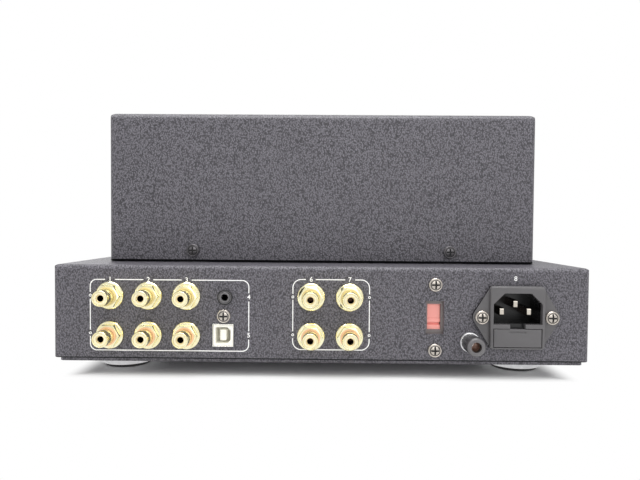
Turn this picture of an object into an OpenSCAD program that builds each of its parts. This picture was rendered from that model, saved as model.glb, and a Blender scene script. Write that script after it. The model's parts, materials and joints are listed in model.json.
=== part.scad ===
// Tube preamplifier: folded chassis, transformer cover, rear connectors, tubes and front controls.
// Millimetres, +Z up, the front panel faces -Y.
// The origin lies on the standing surface, under the middle of the overall box.
// Places on the rear panel are given as seen from behind: u to the right, v up.

/* [Chassis] */
// Width of the chassis
chassis_w = 280; // [266:1:330]
// Depth of the chassis, from its front wall to its rear panel
chassis_d = 205; // [192:1:260]
// Height of the rear panel, from its lower edge to the deck
chassis_h = 49.5; // [47.5:0.5:60]
// Thickness of the folded sheet
sheet_t = 1.2; // [0.8:0.1:1.6]
// Outside radius of the bends
bend_r = 2.5; // [1.8:0.1:4]
// Width of the lip folded in under the chassis
lip_w = 11; // [10:0.5:14]

/* [Bottom plate and feet] */
// Thickness of the bottom plate
plate_t = 1.5; // [1:0.1:2.5]
// Distance from the chassis edge to the edge of the bottom plate
plate_inset = 2; // [1:0.1:3]
// Length of each vent slot in the bottom plate
vent_l = 46; // [30:1:60]
// Width of each vent slot
vent_w = 3.5; // [2:0.1:5]
// Spacing of the vent slots
vent_pitch = 8; // [7:0.5:10]
// Distance between the plate's screws along the depth
plate_screw_pitch = 64; // [56:1:70]
// Diameter of a foot at its top
foot_d = 34; // [28:1:40]
// Diameter of a foot at its base
foot_base_d = 29; // [28:0.5:34]
// Height of a foot with its pad
foot_h = 7.5; // [7:0.1:15]
// Distance from the chassis faces to the middle of a foot
foot_edge = 29; // [26:1:40]
// Diameter of the rubber pad
pad_d = 25; // [20:0.5:26]
// Height of the pad that stands out below the foot
pad_proud = 1.8; // [1:0.1:2.4]
// Depth of the pad's seat in the foot
pad_seat = 1.2; // [0.8:0.1:1.6]

/* [Transformer cover] */
// Width of the cover
cover_w = 242.5; // [220:0.5:250]
// Depth of the cover
cover_d = 92; // [86:1:100]
// Height of the cover
cover_h = 84.3; // [76:0.1:110]
// Distance from the rear panel to the rear face of the cover
cover_setback = 24.6; // [18:0.1:30]
// Shadow gap between the deck and the cover's lower edge
cover_gap = 0.3; // [0.1:0.1:0.6]
// Outside radius of the cover's bends
cover_bend_r = 3; // [2:0.1:5]
// Distance between the two screws in a face of the cover
cover_screw_span = 145.4; // [110:0.2:170]
// Height of the cover's screws above the deck
cover_screw_rise = 6.7; // [6:0.1:9]

/* [Screws] */
// Head diameter of the screws that show
screw_head_d = 7; // [6:0.1:8]
// Head height of the screws that show
screw_head_h = 2.2; // [1.6:0.1:2.8]
// Shank diameter of the screws that show
screw_d = 3.6; // [3:0.1:4]
// Shank length of the screws that show
screw_l = 8; // [7.5:0.5:9]
// Head diameter of the screws that don't show
small_head_d = 6; // [5:0.1:6.5]
// Head height of the screws that don't show
small_head_h = 2; // [1.4:0.1:2.4]
// Shank diameter of the screws that don't show
small_screw_d = 3; // [2.4:0.1:3.4]
// Shank length of the screws that don't show
small_screw_l = 6.5; // [6:0.1:7]

/* [Phono jacks] */
// Middle of the first input column
input_u = -110; // [-112:0.1:-104]
// Middle of the first output column
output_u = -4.8; // [-8:0.1:0]
// Spacing of the jack columns
jack_pitch = 20.1; // [18:0.1:21]
// Spacing of the two jack rows
jack_row_pitch = 20.6; // [17:0.1:21]
// Distance of the jacks' middle line below the middle of the rear panel
row_drop = 1.6; // [0:0.1:2]
// Diameter of a jack's flange
jack_flange_d = 14.5; // [12:0.1:16]
// Thickness of a jack's flange
jack_flange_t = 1.6; // [1:0.1:2.4]
// Width across the flats of a jack's hexagon
jack_hex = 11; // [10:0.1:12]
// Length of a jack's hexagon
jack_hex_l = 2.8; // [2:0.1:4]
// Diameter of the coloured ring
jack_ring_d = 9.8; // [9:0.1:11]
// Thickness of the coloured ring
jack_ring_t = 0.8; // [0.5:0.1:1.5]
// Diameter of the barrel that takes the plug
jack_barrel_d = 8.3; // [8:0.05:8.6]
// Length of the barrel
jack_barrel_l = 8; // [7:0.1:9]
// Diameter of the insulating core
jack_core_d = 6.6; // [5.8:0.1:6.8]
// Outside diameter of the centre contact
jack_contact_d = 4.2; // [4:0.1:5]
// Bore of the centre contact
jack_bore_d = 3.2; // [3.1:0.05:3.4]
// Depth of the bore in the centre contact
jack_bore_l = 9; // [7:0.5:10]
// Diameter of the threaded shank
jack_shank_d = 8; // [7.6:0.1:9]
// Length of the threaded shank behind the rear panel's face
jack_shank_l = 9; // [7:0.5:12]
// Thickness of a jack's nut
jack_nut_t = 2.4; // [1.6:0.1:3]

/* [Digital inputs] */
// Place of the 3.5 mm jack across the panel
minijack_u = -49.6; // [-51:0.1:-48]
// Height of the 3.5 mm jack above the jacks' middle line
minijack_rise = 9.9; // [9:0.1:11]
// Bore of the 3.5 mm jack
minijack_bore_d = 3.6; // [3.5:0.05:3.8]
// Diameter of the 3.5 mm jack's bushing
minijack_bush_d = 5.6; // [5:0.1:6]
// Diameter of the 3.5 mm jack's ring nut
minijack_nut_d = 7.6; // [7:0.1:9]
// Depth of the 3.5 mm jack's body behind the panel
minijack_body_l = 13; // [10:0.5:16]
// Place of the data socket across the panel
usb_u = -50.7; // [-52:0.1:-50]
// Distance of the data socket below the jacks' middle line
usb_drop = 10.1; // [9.8:0.1:10.8]
// Width of the data socket's shell
usb_w = 11; // [10.6:0.1:12]
// Height of the data socket's shell
usb_h = 12; // [11.6:0.1:12.6]
// Wall of the data socket's shell
usb_wall = 0.35; // [0.3:0.05:0.5]
// Length of the data socket
usb_l = 16; // [14:0.5:18]
// Distance that the data socket stands out of the panel
usb_proud = 0.5; // [0.2:0.1:1]
// Depth of the digital board from front to back
digital_board_l = 26; // [22:1:28]

/* [Voltage selector] */
// Place of the voltage selector across the panel
switch_u = 59.7; // [58:0.1:60.5]
// Width of the window in the panel
window_w = 9.4; // [8.6:0.1:10]
// Height of the window in the panel
window_h = 17.2; // [15:0.1:18]
// Distance between the selector's two screws
switch_screw_span = 34.2; // [33.8:0.1:34.6]
// Thickness of the selector's mounting strip
switch_strip_t = 1.5; // [1:0.1:2]
// Width of the red slider
slider_w = 7; // [6:0.1:7.6]
// Height of the opening that shows the slider
slider_view_h = 13.4; // [12.8:0.1:13.6]
// Travel of the slider
slider_travel = 5; // [4:0.1:5.4]
// Thickness of the lip that holds the slider in
slider_lip_t = 0.8; // [0.6:0.1:1.2]
// Thickness of the slider
slider_t = 4; // [3:0.1:5]

/* [Mains inlet] */
// Place of the inlet across the panel
inlet_u = 101.3; // [100.5:0.1:104]
// Width of the inlet's raised block
inlet_w = 28; // [27.6:0.1:28.6]
// Height of the inlet's raised block
inlet_h = 32.4; // [32:0.1:33.5]
// Distance that the block stands out of the panel
inlet_proud = 4.2; // [3.5:0.1:5.5]
// Thickness of the inlet's screw ears
ear_t = 2; // [1.6:0.1:2.6]
// Radius of the ears round their screws
ear_r = 4.4; // [4:0.1:5]
// Distance between the inlet's two screws
inlet_screw_span = 36; // [35.6:0.1:38]
// Depth of the inlet's body behind the panel
inlet_body_l = 22; // [20:0.5:24]
// Width of the plug recess
recess_w = 25; // [24.8:0.1:25.2]
// Height of the plug recess
recess_h = 16; // [15.8:0.1:16.2]
// Depth of the plug recess
recess_l = 17; // [16:0.1:18]
// Corner cut of the plug recess
recess_cut = 5.6; // [4:0.1:6]
// Spacing of the line and neutral pins
pin_pitch = 14; // [13.8:0.1:14.2]
// Height of the earth pin above the other two
earth_rise = 4; // [3.8:0.1:4.2]
// Width of a pin
pin_w = 2; // [1.8:0.1:2.2]
// Height of a pin
pin_h = 4; // [3.8:0.1:4.2]
// Height of the fuse drawer
drawer_h = 9.3; // [8.6:0.1:9.6]
// Travel of the fuse drawer
drawer_travel = 18; // [14:0.5:19]
// Length of the fuse drawer that stays in the inlet when it is pulled out
drawer_keep = 5; // [4:0.1:6]
// Diameter of a fuse
fuse_d = 5; // [4.6:0.1:5.2]
// Length of a fuse
fuse_l = 20; // [18:0.1:20.4]

/* [Ground terminal] */
// Place of the ground terminal across the panel
post_u = 77.8; // [76:0.1:78]
// Distance of the ground terminal below the jacks' middle line
post_drop = 12.4; // [10:0.1:12.6]
// Diameter of the collar
post_collar_d = 10.2; // [9.8:0.1:11]
// Thickness of the collar
post_collar_t = 1.8; // [1:0.1:2.4]
// Diameter of the stud
post_stud_d = 6; // [5.6:0.1:6.2]
// Length of the stud in front of the panel
post_stud_l = 10.4; // [9.6:0.1:10.8]
// Bore of the stud, which takes a plug
post_bore_d = 4.1; // [4:0.05:4.4]
// Diameter of the cap
post_cap_d = 9.4; // [9:0.1:9.8]
// Distance from the panel to the tip of the cap
post_tip = 13.2; // [13:0.1:15]
// Opening in the tip of the cap
post_mouth_d = 5.2; // [4.6:0.1:5.4]

/* [Front panel] */
// Thickness of the front panel
panel_t = 8; // [7:0.1:12]
// Distance that the front panel stands above the deck and below the chassis
panel_over = 1; // [0:0.1:2]
// Bevel round the front panel
panel_bevel = 1; // [0.5:0.1:2]
// Place of the volume knob across the front
volume_x = 78; // [60:1:90]
// Place of the selector knob across the front
selector_x = -30; // [-40:1:-20]
// Place of the power button across the front
power_x = -113; // [-115:1:-108]
// Place of the pilot light across the front
pilot_x = -92; // [-96:1:-86]
// Diameter of the volume knob
volume_knob_d = 36; // [30:1:40]
// Length of the volume knob
volume_knob_l = 16; // [14:0.5:22]
// Diameter of the selector knob
selector_knob_d = 28; // [24:1:34]
// Length of the selector knob
selector_knob_l = 14; // [13:0.5:16]
// Gap between a knob and the front panel
knob_gap = 0.8; // [0.5:0.1:1.5]
// Diameter of the control shafts
shaft_d = 6; // [5.6:0.1:6.4]
// Diameter of the threaded bushings
bush_d = 9; // [8.4:0.1:10]
// Width across the flats of the bushing nuts
bush_nut = 12; // [11.5:0.1:13]
// Thickness of the bushing nuts
bush_nut_t = 2.2; // [1.6:0.1:2.8]
// Side of the volume control's square body
volume_body_w = 26; // [22:0.5:28]
// Length of the volume control's body
volume_body_l = 26; // [20:0.5:27]
// Diameter of the selector switch
selector_body_d = 28; // [24:0.5:30]
// Length of the selector switch
selector_body_l = 24; // [18:0.5:26]
// Diameter of the power button
button_d = 11; // [9:0.1:12]
// Distance that the power button stands out
button_proud = 3.6; // [3.2:0.1:5]
// Travel of the power button
button_travel = 3; // [2:0.1:3]
// Side of the power switch's body
power_body_w = 12; // [10:0.5:14]
// Length of the power switch's body
power_body_l = 20; // [16:0.5:24]
// Diameter of the pilot light
pilot_d = 3; // [2.6:0.1:5]

/* [Tubes] */
// Number of tubes
tube_count = 4; // [2:1:4]
// Spacing of the tubes
tube_pitch = 56; // [40:1:60]
// Diameter of a tube
tube_d = 21; // [19:0.1:22.5]
// Height of a tube's straight wall
tube_wall_h = 32; // [28:0.5:40]
// Thickness of the glass
glass_t = 0.9; // [0.6:0.1:1.2]
// Diameter of the circle that the pins stand on
tube_pin_circle = 11.9; // [11.6:0.1:12.2]
// Diameter of a tube pin
tube_pin_d = 1; // [0.9:0.05:1.1]
// Length of a tube pin
tube_pin_l = 7; // [6:0.1:7.5]
// Diameter of a tube socket
socket_d = 20; // [18:0.1:22]
// Height of a socket above the deck
socket_proud = 1; // [0.5:0.1:2]

/* [Transformer] */
// Place of the transformer across the deck
transformer_x = -50; // [-54:1:-44]
// Width of the laminated core
core_w = 76.2; // [72:0.2:80]
// Height of the laminated core
core_h = 63.5; // [56:0.1:66]
// Stack of the laminated core
core_stack = 34; // [24:0.5:36]
// Width of an outer leg of the core
leg_w = 12.7; // [11:0.1:13.4]
// Thickness of the frame strap
frame_t = 1.5; // [1:0.1:2]
// Length of the frame's feet
frame_tab = 13; // [11:0.5:14]
// Diameter of the frame's bolts
bolt_d = 4; // [3:0.1:4.4]
// Outside diameter of a grommet
grommet_d = 13; // [11:0.1:14]
// Opening of a grommet
grommet_bore_d = 7; // [6.4:0.1:8]
// Distance from the cover's side to the grommet of the mains leads
grommet_edge = 12.1; // [9:0.1:14]

/* [Boards] */
// Thickness of the circuit boards
board_t = 1.6; // [1.2:0.1:2]
// Distance from the front wall to the main board
board_front_gap = 31; // [29:0.5:33]
// Distance from the rear panel to the main board
board_rear_gap = 35; // [33:0.5:40]
// Distance from the side walls to the main board
board_side_gap = 20; // [18:0.5:24]
// Length of the spacers that hang the board under the deck
spacer_l = 14; // [12:0.5:16]
// Diameter of the spacers
spacer_d = 6; // [5:0.1:7]
// Diameter of the filter capacitors
filter_d = 18; // [14:0.5:20]
// Height of the filter capacitors
filter_h = 25; // [20:0.5:26]
// Length of a coupling capacitor
coupling_l = 26; // [20:0.5:30]
// Width of a coupling capacitor
coupling_w = 9; // [7:0.5:11]
// Height of a coupling capacitor
coupling_h = 15; // [10:0.5:20]
// Diameter of the mains and transformer wires
wire_d = 2.2; // [1.6:0.1:2.4]
// Diameter of the signal wires
signal_d = 1.6; // [1.2:0.1:2]

/* [Fits] */
// Clearance between pieces that seat in each other
fit = 0.05; // [0.02:0.01:0.08]
// Clearance between pieces that slide in each other
slide_fit = 0.3; // [0.2:0.05:0.35]
// Clearance round what passes through a sheet
hole_play = 0.3; // [0.2:0.05:0.4]

/* [Hidden] */
$fn = 48;
// Allowance by which a cut runs past the face it opens
past = 1;

// Heights
z_plate = foot_h;
z_base = z_plate + plate_t;
z_deck = z_base + chassis_h;
z_mid = z_base + chassis_h / 2;
z_under_deck = z_deck - sheet_t;
z_cover = z_deck + cover_gap;
z_board = z_under_deck - spacer_l;
row_mid = chassis_h / 2 - row_drop;

// Lengths along the jacks and the knobs
jack_ring_z = jack_flange_t + jack_hex_l;
jack_barrel_z = jack_ring_z + jack_ring_t;
jack_neck_step = 0.35;
jack_neck_d = jack_barrel_d - 2 * jack_neck_step;
jack_tip = jack_barrel_z + jack_barrel_l;
rear_reach = max(jack_tip, post_tip);
front_reach = knob_gap + max(volume_knob_l, selector_knob_l);

// Depths
overall_d = front_reach + panel_t + chassis_d + rear_reach;
y_panel = -overall_d / 2 + front_reach;
y_front = y_panel + panel_t;
y_rear = y_front + chassis_d;
y_mid = (y_front + y_rear) / 2;
y_inside = y_front + sheet_t;
cover_y = y_rear - cover_setback - cover_d / 2;
tube_y = (y_front + cover_y - cover_d / 2) / 2;

// Places on the rear panel
input_cols = [for (i = [0 : 2]) input_u + i * jack_pitch];
output_cols = [for (i = [0 : 1]) output_u + i * jack_pitch];
jack_cols = concat(input_cols, output_cols);
left_row = row_mid + jack_row_pitch / 2;
right_row = row_mid - jack_row_pitch / 2;
minijack_v = row_mid + minijack_rise;
usb_v = row_mid - usb_drop;
switch_v = row_mid + 0.2;
inlet_v = row_mid + 0.9;
post_v = row_mid - post_drop;
digital_screw_u = usb_u + 0.4;
switch_screws = [for (s = [-1, 1]) [switch_u, switch_v + s * switch_screw_span / 2]];
inlet_screws = [for (s = [-1, 1]) [inlet_u + s * inlet_screw_span / 2, inlet_v]];

// Places of the tubes, the feet and the screws under the chassis
tube_xs = [for (i = [0 : tube_count - 1]) (i - (tube_count - 1) / 2) * tube_pitch];
foot_x = chassis_w / 2 - foot_edge;
foot_ys = [y_front + foot_edge, y_rear - foot_edge];
plate_screw_x = chassis_w / 2 - plate_inset - (lip_w - plate_inset) / 2;
plate_screws = [for (s = [-1, 1], i = [-1 : 1]) [s * plate_screw_x, y_mid + i * plate_screw_pitch]];
foot_web = 2.5;
panel_screw_edge = 14;
panel_screw_rise = 10;
panel_screw_x = chassis_w / 2 - panel_screw_edge;
panel_screw_zs = [z_base + panel_screw_rise, z_deck - panel_screw_rise];

// Main board
board_w = chassis_w - 2 * board_side_gap;
board_y0 = y_front + board_front_gap;
board_y1 = y_rear - board_rear_gap;
board_edge = 6;
spacer_xs = [for (s = [-1, 0, 1]) s * (board_w / 2 - board_edge)];
spacer_ys = [board_y0 + board_edge, board_y1 - board_edge];

// Transformer
window_core_w = (core_w - 4 * leg_w) / 2;
window_core_h = core_h - 2 * leg_w;
coil_gap = 0.5;
coil_d = core_stack + 2 * window_core_w;
frame_half = core_w / 2 + frame_t + fit;
bolt_x = frame_half + frame_tab / 2;
grommet_y = cover_y - coil_d / 2 - grommet_d / 2;
grommet_xs = [
    grommet_edge - cover_w / 2,
    transformer_x + frame_half + frame_tab + grommet_d / 2
];
grommet_groove_d = grommet_d - 3;

// Insides of the connectors and controls
core_back = jack_shank_l + 2;
contact_recess = 1.2;
tail_l = 5;
inlet_pin_v = 2.7;
recess_v = 4.7;
drawer_v = -10.4;
drawer_w = recess_w;
drawer_l = drawer_travel + drawer_keep;
tab_l = 8;
strip_back = sheet_t + switch_strip_t;
slider_z = strip_back + slider_lip_t;
slider_over = 0.5;
slider_h = slider_view_h + slider_travel + 2 * slider_over;
switch_wall = 2.5;
switch_end = 1.5;
switch_back = 6;
switch_body_w = slider_w + 2 * switch_wall;
switch_body_h = slider_h + slider_travel + 2 * switch_end;
switch_body_l = slider_lip_t + slider_t + switch_back;
insert_d = 7.6;
cap_gap = 0.3;
bush_l = sheet_t + bush_nut_t + 1.2;
shaft_in = 6;
knob_bore_l = 11;
bush_well_d = bush_nut / cos(30) + 2;
bush_well_l = bush_nut_t + 2.2;
stem_d = 5;
stem_in = 5;
switch_tab_pitch = 6;

// Colours
charcoal = [0.27, 0.27, 0.28];
gold = [0.83, 0.68, 0.36];
nickel = [0.78, 0.77, 0.74];
black = [0.08, 0.08, 0.09];
alloy = [0.82, 0.82, 0.83];

// Frames: local +Z points out of the panel
module on_rear(u, v) {
    translate([-u, y_rear, z_base + v])
        rotate([90, 0, 180])
            children();
}

module on_front(x) {
    translate([x, y_panel, z_mid])
        rotate([90, 0, 0])
            children();
}

module on_deck(x, y) {
    translate([x, y, z_deck])
        children();
}

// Outlines
module round_rect(size, r) {
    square([size[0] - 2 * r, size[1]], center = true);
    square([size[0], size[1] - 2 * r], center = true);
    for (sx = [-1, 1], sy = [-1, 1])
        translate([sx * (size[0] / 2 - r), sy * (size[1] / 2 - r)])
            circle(r);
}

// Box with every edge bent to the same radius, standing on z = 0
module bent_box(size, r) {
    intersection() {
        linear_extrude(size[2])
            round_rect([size[0], size[1]], r);
        translate([0, size[1] / 2, size[2] / 2])
            rotate([90, 0, 0])
                linear_extrude(size[1])
                    round_rect([size[0], size[2]], r);
        translate([-size[0] / 2, 0, size[2] / 2])
            rotate([90, 0, 90])
                linear_extrude(size[0])
                    round_rect([size[1], size[2]], r);
    }
}

module slab(size, z0, z1) {
    translate([-size[0] / 2, -size[1] / 2, z0])
        cube([size[0], size[1], z1 - z0]);
}

module rod(d, z0, z1) {
    translate([0, 0, z0])
        cylinder(d = d, h = z1 - z0);
}

module hexagon(across, z0, z1) {
    translate([0, 0, z0])
        cylinder(d = across / cos(30), h = z1 - z0, $fn = 6);
}

module ring(d, bore, z0, z1) {
    difference() {
        rod(d, z0, z1);
        rod(bore, z0 - past, z1 + past);
    }
}

// Pan head screw, its head's seat at z = 0
module screw(head_d, head_h, d, l) {
    crown_r = head_d * 0.85;
    cross_w = head_d * 0.13;
    difference() {
        union() {
            intersection() {
                rod(head_d, 0, head_h);
                translate([0, 0, head_h - crown_r])
                    sphere(crown_r, $fn = 64);
            }
            rod(d, -l, 0);
        }
        for (a = [0, 90])
            rotate(a)
                slab([head_d * 0.6, cross_w], head_h * 0.45, head_h + past);
    }
}

module show_screw() {
    screw(screw_head_d, screw_head_h, screw_d, screw_l);
}

module small_screw() {
    screw(small_head_d, small_head_h, small_screw_d, small_screw_l);
}

// Chassis and cover
module chassis_shell() {
    color(charcoal)
        difference() {
            translate([0, y_mid, z_base])
                bent_box([chassis_w, chassis_d, chassis_h], bend_r);
            translate([0, y_mid, z_base + sheet_t])
                bent_box(
                    [chassis_w - 2 * sheet_t, chassis_d - 2 * sheet_t, chassis_h - 2 * sheet_t],
                    bend_r - sheet_t
                );
            translate([0, y_mid, z_base - past])
                linear_extrude(sheet_t + 2 * past)
                    round_rect([chassis_w - 2 * lip_w, chassis_d - 2 * lip_w], bend_r);
            rear_holes();
            front_holes();
            deck_holes();
            lip_holes();
        }
}

module rear_holes() {
    for (u = jack_cols, v = [left_row, right_row])
        on_rear(u, v)
            rod(jack_shank_d + 2 * hole_play, -sheet_t - past, past);
    on_rear(minijack_u, minijack_v)
        rod(minijack_bush_d + 2 * hole_play, -sheet_t - past, past);
    on_rear(usb_u, usb_v)
        slab([usb_w + 2 * hole_play, usb_h + 2 * hole_play], -sheet_t - past, past);
    on_rear(switch_u, switch_v)
        slab([window_w, window_h], -sheet_t - past, past);
    on_rear(inlet_u, inlet_v)
        slab([recess_w + 2 + 2 * hole_play, inlet_h - 1 + 2 * hole_play], -sheet_t - past, past);
    on_rear(post_u, post_v)
        rod(post_stud_d + 2 * hole_play, -sheet_t - past, past);
    for (p = concat(switch_screws, inlet_screws, [[digital_screw_u, row_mid]]))
        on_rear(p[0], p[1])
            rod(screw_d + 2 * fit, -sheet_t - past, past);
}

module front_holes() {
    for (x = [volume_x, selector_x])
        on_front(x)
            rod(bush_d + 2 * fit, -panel_t - sheet_t - past, -panel_t + past);
    on_front(power_x)
        rod(stem_d + 2 * slide_fit, -panel_t - sheet_t - past, -panel_t + past);
    on_front(pilot_x)
        rod(pilot_d + 2 * fit, -panel_t - sheet_t - past, -panel_t + past);
    for (s = [-1, 1], z = panel_screw_zs)
        translate([s * panel_screw_x, y_front, z])
            rotate([-90, 0, 0])
                rod(small_screw_d + 2 * fit, -past, sheet_t + past);
}

module deck_holes() {
    for (x = tube_xs)
        on_deck(x, tube_y)
            rod(socket_d + 2 * hole_play, -sheet_t - past, past);
    for (x = grommet_xs)
        on_deck(x, grommet_y)
            rod(grommet_groove_d + 2 * fit, -sheet_t - past, past);
    for (s = [-1, 1])
        on_deck(transformer_x + s * bolt_x, cover_y)
            rod(bolt_d + 2 * fit, -sheet_t - past, past);
}

module lip_holes() {
    for (p = plate_screws)
        translate([p[0], p[1], z_base])
            rod(small_screw_d + 2 * fit, -past, sheet_t + past);
}

module bottom_plate() {
    color(charcoal)
        difference() {
            translate([0, y_mid, z_plate])
                linear_extrude(plate_t)
                    round_rect([chassis_w - 2 * plate_inset, chassis_d - 2 * plate_inset], bend_r);
            for (p = plate_screws)
                translate([p[0], p[1], z_plate])
                    rod(small_screw_d + 2 * fit, -past, plate_t + past);
            for (s = [-1, 1], y = foot_ys)
                translate([s * foot_x, y, z_plate])
                    rod(small_screw_d + 2 * fit, -past, plate_t + past);
            for (s = [-1, 1], i = [-3 : 3])
                translate([s * tube_pitch, y_mid + i * vent_pitch, z_plate - past])
                    linear_extrude(plate_t + 2 * past)
                        vent();
        }
}

// Slot with round ends
module vent() {
    square([vent_l - vent_w, vent_w], center = true);
    for (s = [-1, 1])
        translate([s * (vent_l - vent_w) / 2, 0])
            circle(d = vent_w);
}

module transformer_cover() {
    color(charcoal)
        difference() {
            translate([0, cover_y, z_cover])
                cover_block(cover_w, cover_d, cover_h, cover_bend_r);
            translate([0, cover_y, z_cover - past])
                cover_block(
                    cover_w - 2 * sheet_t, cover_d - 2 * sheet_t,
                    cover_h - sheet_t + past, cover_bend_r - sheet_t
                );
            for (s = [-1, 1], side = [-1, 1])
                on_cover(s, side)
                    rod(screw_d + 2 * fit, -sheet_t - past, past);
        }
}

// Box with bent upright and upper edges and a square lower edge
module cover_block(w, d, h, r) {
    intersection() {
        translate([0, 0, -2 * r])
            bent_box([w, d, h + 2 * r], r);
        translate([-w / 2, -d / 2, 0])
            cube([w, d, h]);
    }
}

// Frame at a screw of the cover, side 1 is the rear face and side -1 the front face
module on_cover(s, side) {
    translate([
        s * cover_screw_span / 2, cover_y + side * cover_d / 2, z_deck + cover_screw_rise
    ])
        rotate([-90 * side, 0, 0])
            children();
}

module cover_brackets() {
    bracket_w = 16;
    bracket_t = 1.5;
    above_screw = 6;
    bracket_h = cover_screw_rise + above_screw;
    bracket_l = 12;
    color(nickel)
        for (s = [-1, 1], side = [-1, 1])
            difference() {
                translate([s * cover_screw_span / 2, cover_y, z_deck])
                    rotate(side > 0 ? 0 : 180)
                        translate([-bracket_w / 2, cover_d / 2 - sheet_t - fit, 0])
                            rotate([90, 0, 90])
                                linear_extrude(bracket_w)
                                    polygon([
                                        [0, 0], [0, bracket_h], [-bracket_t, bracket_h],
                                        [-bracket_t, bracket_t], [-bracket_l, bracket_t],
                                        [-bracket_l, 0]
                                    ]);
                on_cover(s, side)
                    rod(screw_d + 2 * fit, -sheet_t - bracket_t - past, past);
            }
}

module cover_screws() {
    color([0.2, 0.18, 0.17])
        for (s = [-1, 1], side = [-1, 1])
            on_cover(s, side)
                show_screw();
}

module underside_screws() {
    color(nickel) {
        for (p = plate_screws)
            translate([p[0], p[1], z_plate])
                rotate([180, 0, 0])
                    small_screw();
        for (s = [-1, 1], y = foot_ys)
            translate([s * foot_x, y, z_plate - foot_web])
                rotate([180, 0, 0])
                    small_screw();
    }
}

module panel_screws() {
    color(nickel)
        for (s = [-1, 1], z = panel_screw_zs)
            translate([s * panel_screw_x, y_inside, z])
                rotate([-90, 0, 0])
                    small_screw();
}

// Feet
module at_feet() {
    for (s = [-1, 1], y = foot_ys)
        translate([s * foot_x, y, 0])
            children();
}

module feet() {
    rim = 1.2;
    steps = 6;
    bowl = [
        for (i = [0 : steps])
            let (t = i / steps)
            [
                foot_base_d / 2 + (foot_d - foot_base_d) / 2 * sin(90 * t),
                pad_proud + (foot_h - rim - pad_proud) * t
            ]
    ];
    color(nickel)
        at_feet()
            difference() {
                rotate_extrude()
                    polygon(concat([[0, pad_proud]], bowl, [[foot_d / 2, foot_h], [0, foot_h]]));
                rod(pad_d + 2 * fit, pad_proud - past, pad_proud + pad_seat);
                rod(small_head_d + 2, pad_proud - past, foot_h - foot_web);
                rod(small_screw_d + 2 * fit, pad_proud - past, foot_h + past);
            }
}

module foot_pads() {
    color(black)
        at_feet()
            ring(pad_d, small_head_d + 3, 0, pad_proud + pad_seat);
}

// Transformer on the deck
module at_transformer() {
    translate([transformer_x, cover_y, z_deck])
        children();
}

module transformer_core() {
    color([0.35, 0.34, 0.33])
        at_transformer()
            difference() {
                slab([core_w, core_stack], 0, core_h);
                for (s = [-1, 1])
                    translate([s * (leg_w + window_core_w / 2), 0, 0])
                        slab([window_core_w, core_stack + 2 * past], leg_w, leg_w + window_core_h);
            }
}

module transformer_coil() {
    corner_r = 4;
    color([0.72, 0.6, 0.3])
        at_transformer()
            difference() {
                translate([0, 0, leg_w + coil_gap])
                    linear_extrude(window_core_h - 2 * coil_gap)
                        round_rect([2 * (leg_w + window_core_w - coil_gap), coil_d], corner_r);
                slab([2 * leg_w + 2 * fit, core_stack + 2 * fit], 0, core_h);
            }
}

module transformer_frame() {
    inner = core_w + 2 * fit;
    top = core_h + fit;
    color(nickel)
        at_transformer()
            difference() {
                union() {
                    slab([inner + 2 * frame_t, core_stack], 0, top + frame_t);
                    slab([inner + 2 * frame_t + 2 * frame_tab, core_stack], 0, frame_t);
                }
                slab([inner, core_stack + 2 * past], -past, top);
                for (s = [-1, 1])
                    translate([s * bolt_x, 0, 0])
                        rod(bolt_d + 2 * fit, -past, frame_t + past);
            }
}

module transformer_bolts() {
    head = 1.75 * bolt_d;
    nut_t = 0.8 * bolt_d;
    color(nickel)
        for (s = [-1, 1])
            on_deck(transformer_x + s * bolt_x, cover_y) {
                hexagon(head, frame_t, frame_t + 0.7 * bolt_d);
                rod(bolt_d, -sheet_t - nut_t - 1, frame_t);
                difference() {
                    hexagon(head, -sheet_t - nut_t, -sheet_t);
                    rod(bolt_d + 2 * fit, -sheet_t - nut_t - past, past);
                }
            }
}

module lead_grommets() {
    flange_t = 1.6;
    color(black)
        for (x = grommet_xs)
            on_deck(x, grommet_y)
                difference() {
                    union() {
                        rod(grommet_d, fit, flange_t);
                        rod(grommet_groove_d, -sheet_t - flange_t, flange_t);
                        rod(grommet_d, -sheet_t - flange_t, -sheet_t - fit);
                    }
                    rod(grommet_bore_d, -sheet_t - flange_t - past, flange_t + past);
                }
}

// Wires: a tube swept along a route whose corners are rounded
function unit(v) = v / norm(v);

function corner(a, b, c, r, n) =
    let (s = b + r * unit(a - b), e = b + r * unit(c - b))
    [for (i = [0 : n]) let (t = i / n) (1 - t) * (1 - t) * s + 2 * t * (1 - t) * b + t * t * e];

function route(p, r) = [
    p[0],
    for (i = [1 : len(p) - 2]) each corner(p[i - 1], p[i], p[i + 1], r, 3),
    p[len(p) - 1]
];

module wire(points, d, r) {
    sides = 6;
    q = route(points, r);
    n = len(q);
    lean = [0.31, 0.17, 0.93];
    rings = [
        for (i = [0 : n - 1])
            let (
                t = unit(q[min(i + 1, n - 1)] - q[max(i - 1, 0)]),
                a = unit(cross(t, lean)),
                b = cross(t, a)
            )
            for (k = [0 : sides - 1])
                q[i] + d / 2 * (cos(360 * k / sides) * a + sin(360 * k / sides) * b)
    ];
    walls = [
        for (i = [0 : n - 2], k = [0 : sides - 1])
            let (a = i * sides + k, b = i * sides + (k + 1) % sides)
            each [[a, b, b + sides], [a, b + sides, a + sides]]
    ];
    last = (n - 1) * sides;
    ends = [
        for (k = [1 : sides - 2])
            each [[0, k + 1, k], [last, last + k, last + k + 1]]
    ];
    polyhedron(rings, concat(walls, ends));
}

module internal_wiring() {
    color([0.75, 0.2, 0.15]) {
        mains_wires();
        secondary_wires();
    }
    color([0.85, 0.85, 0.82])
        signal_wires();
}

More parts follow.
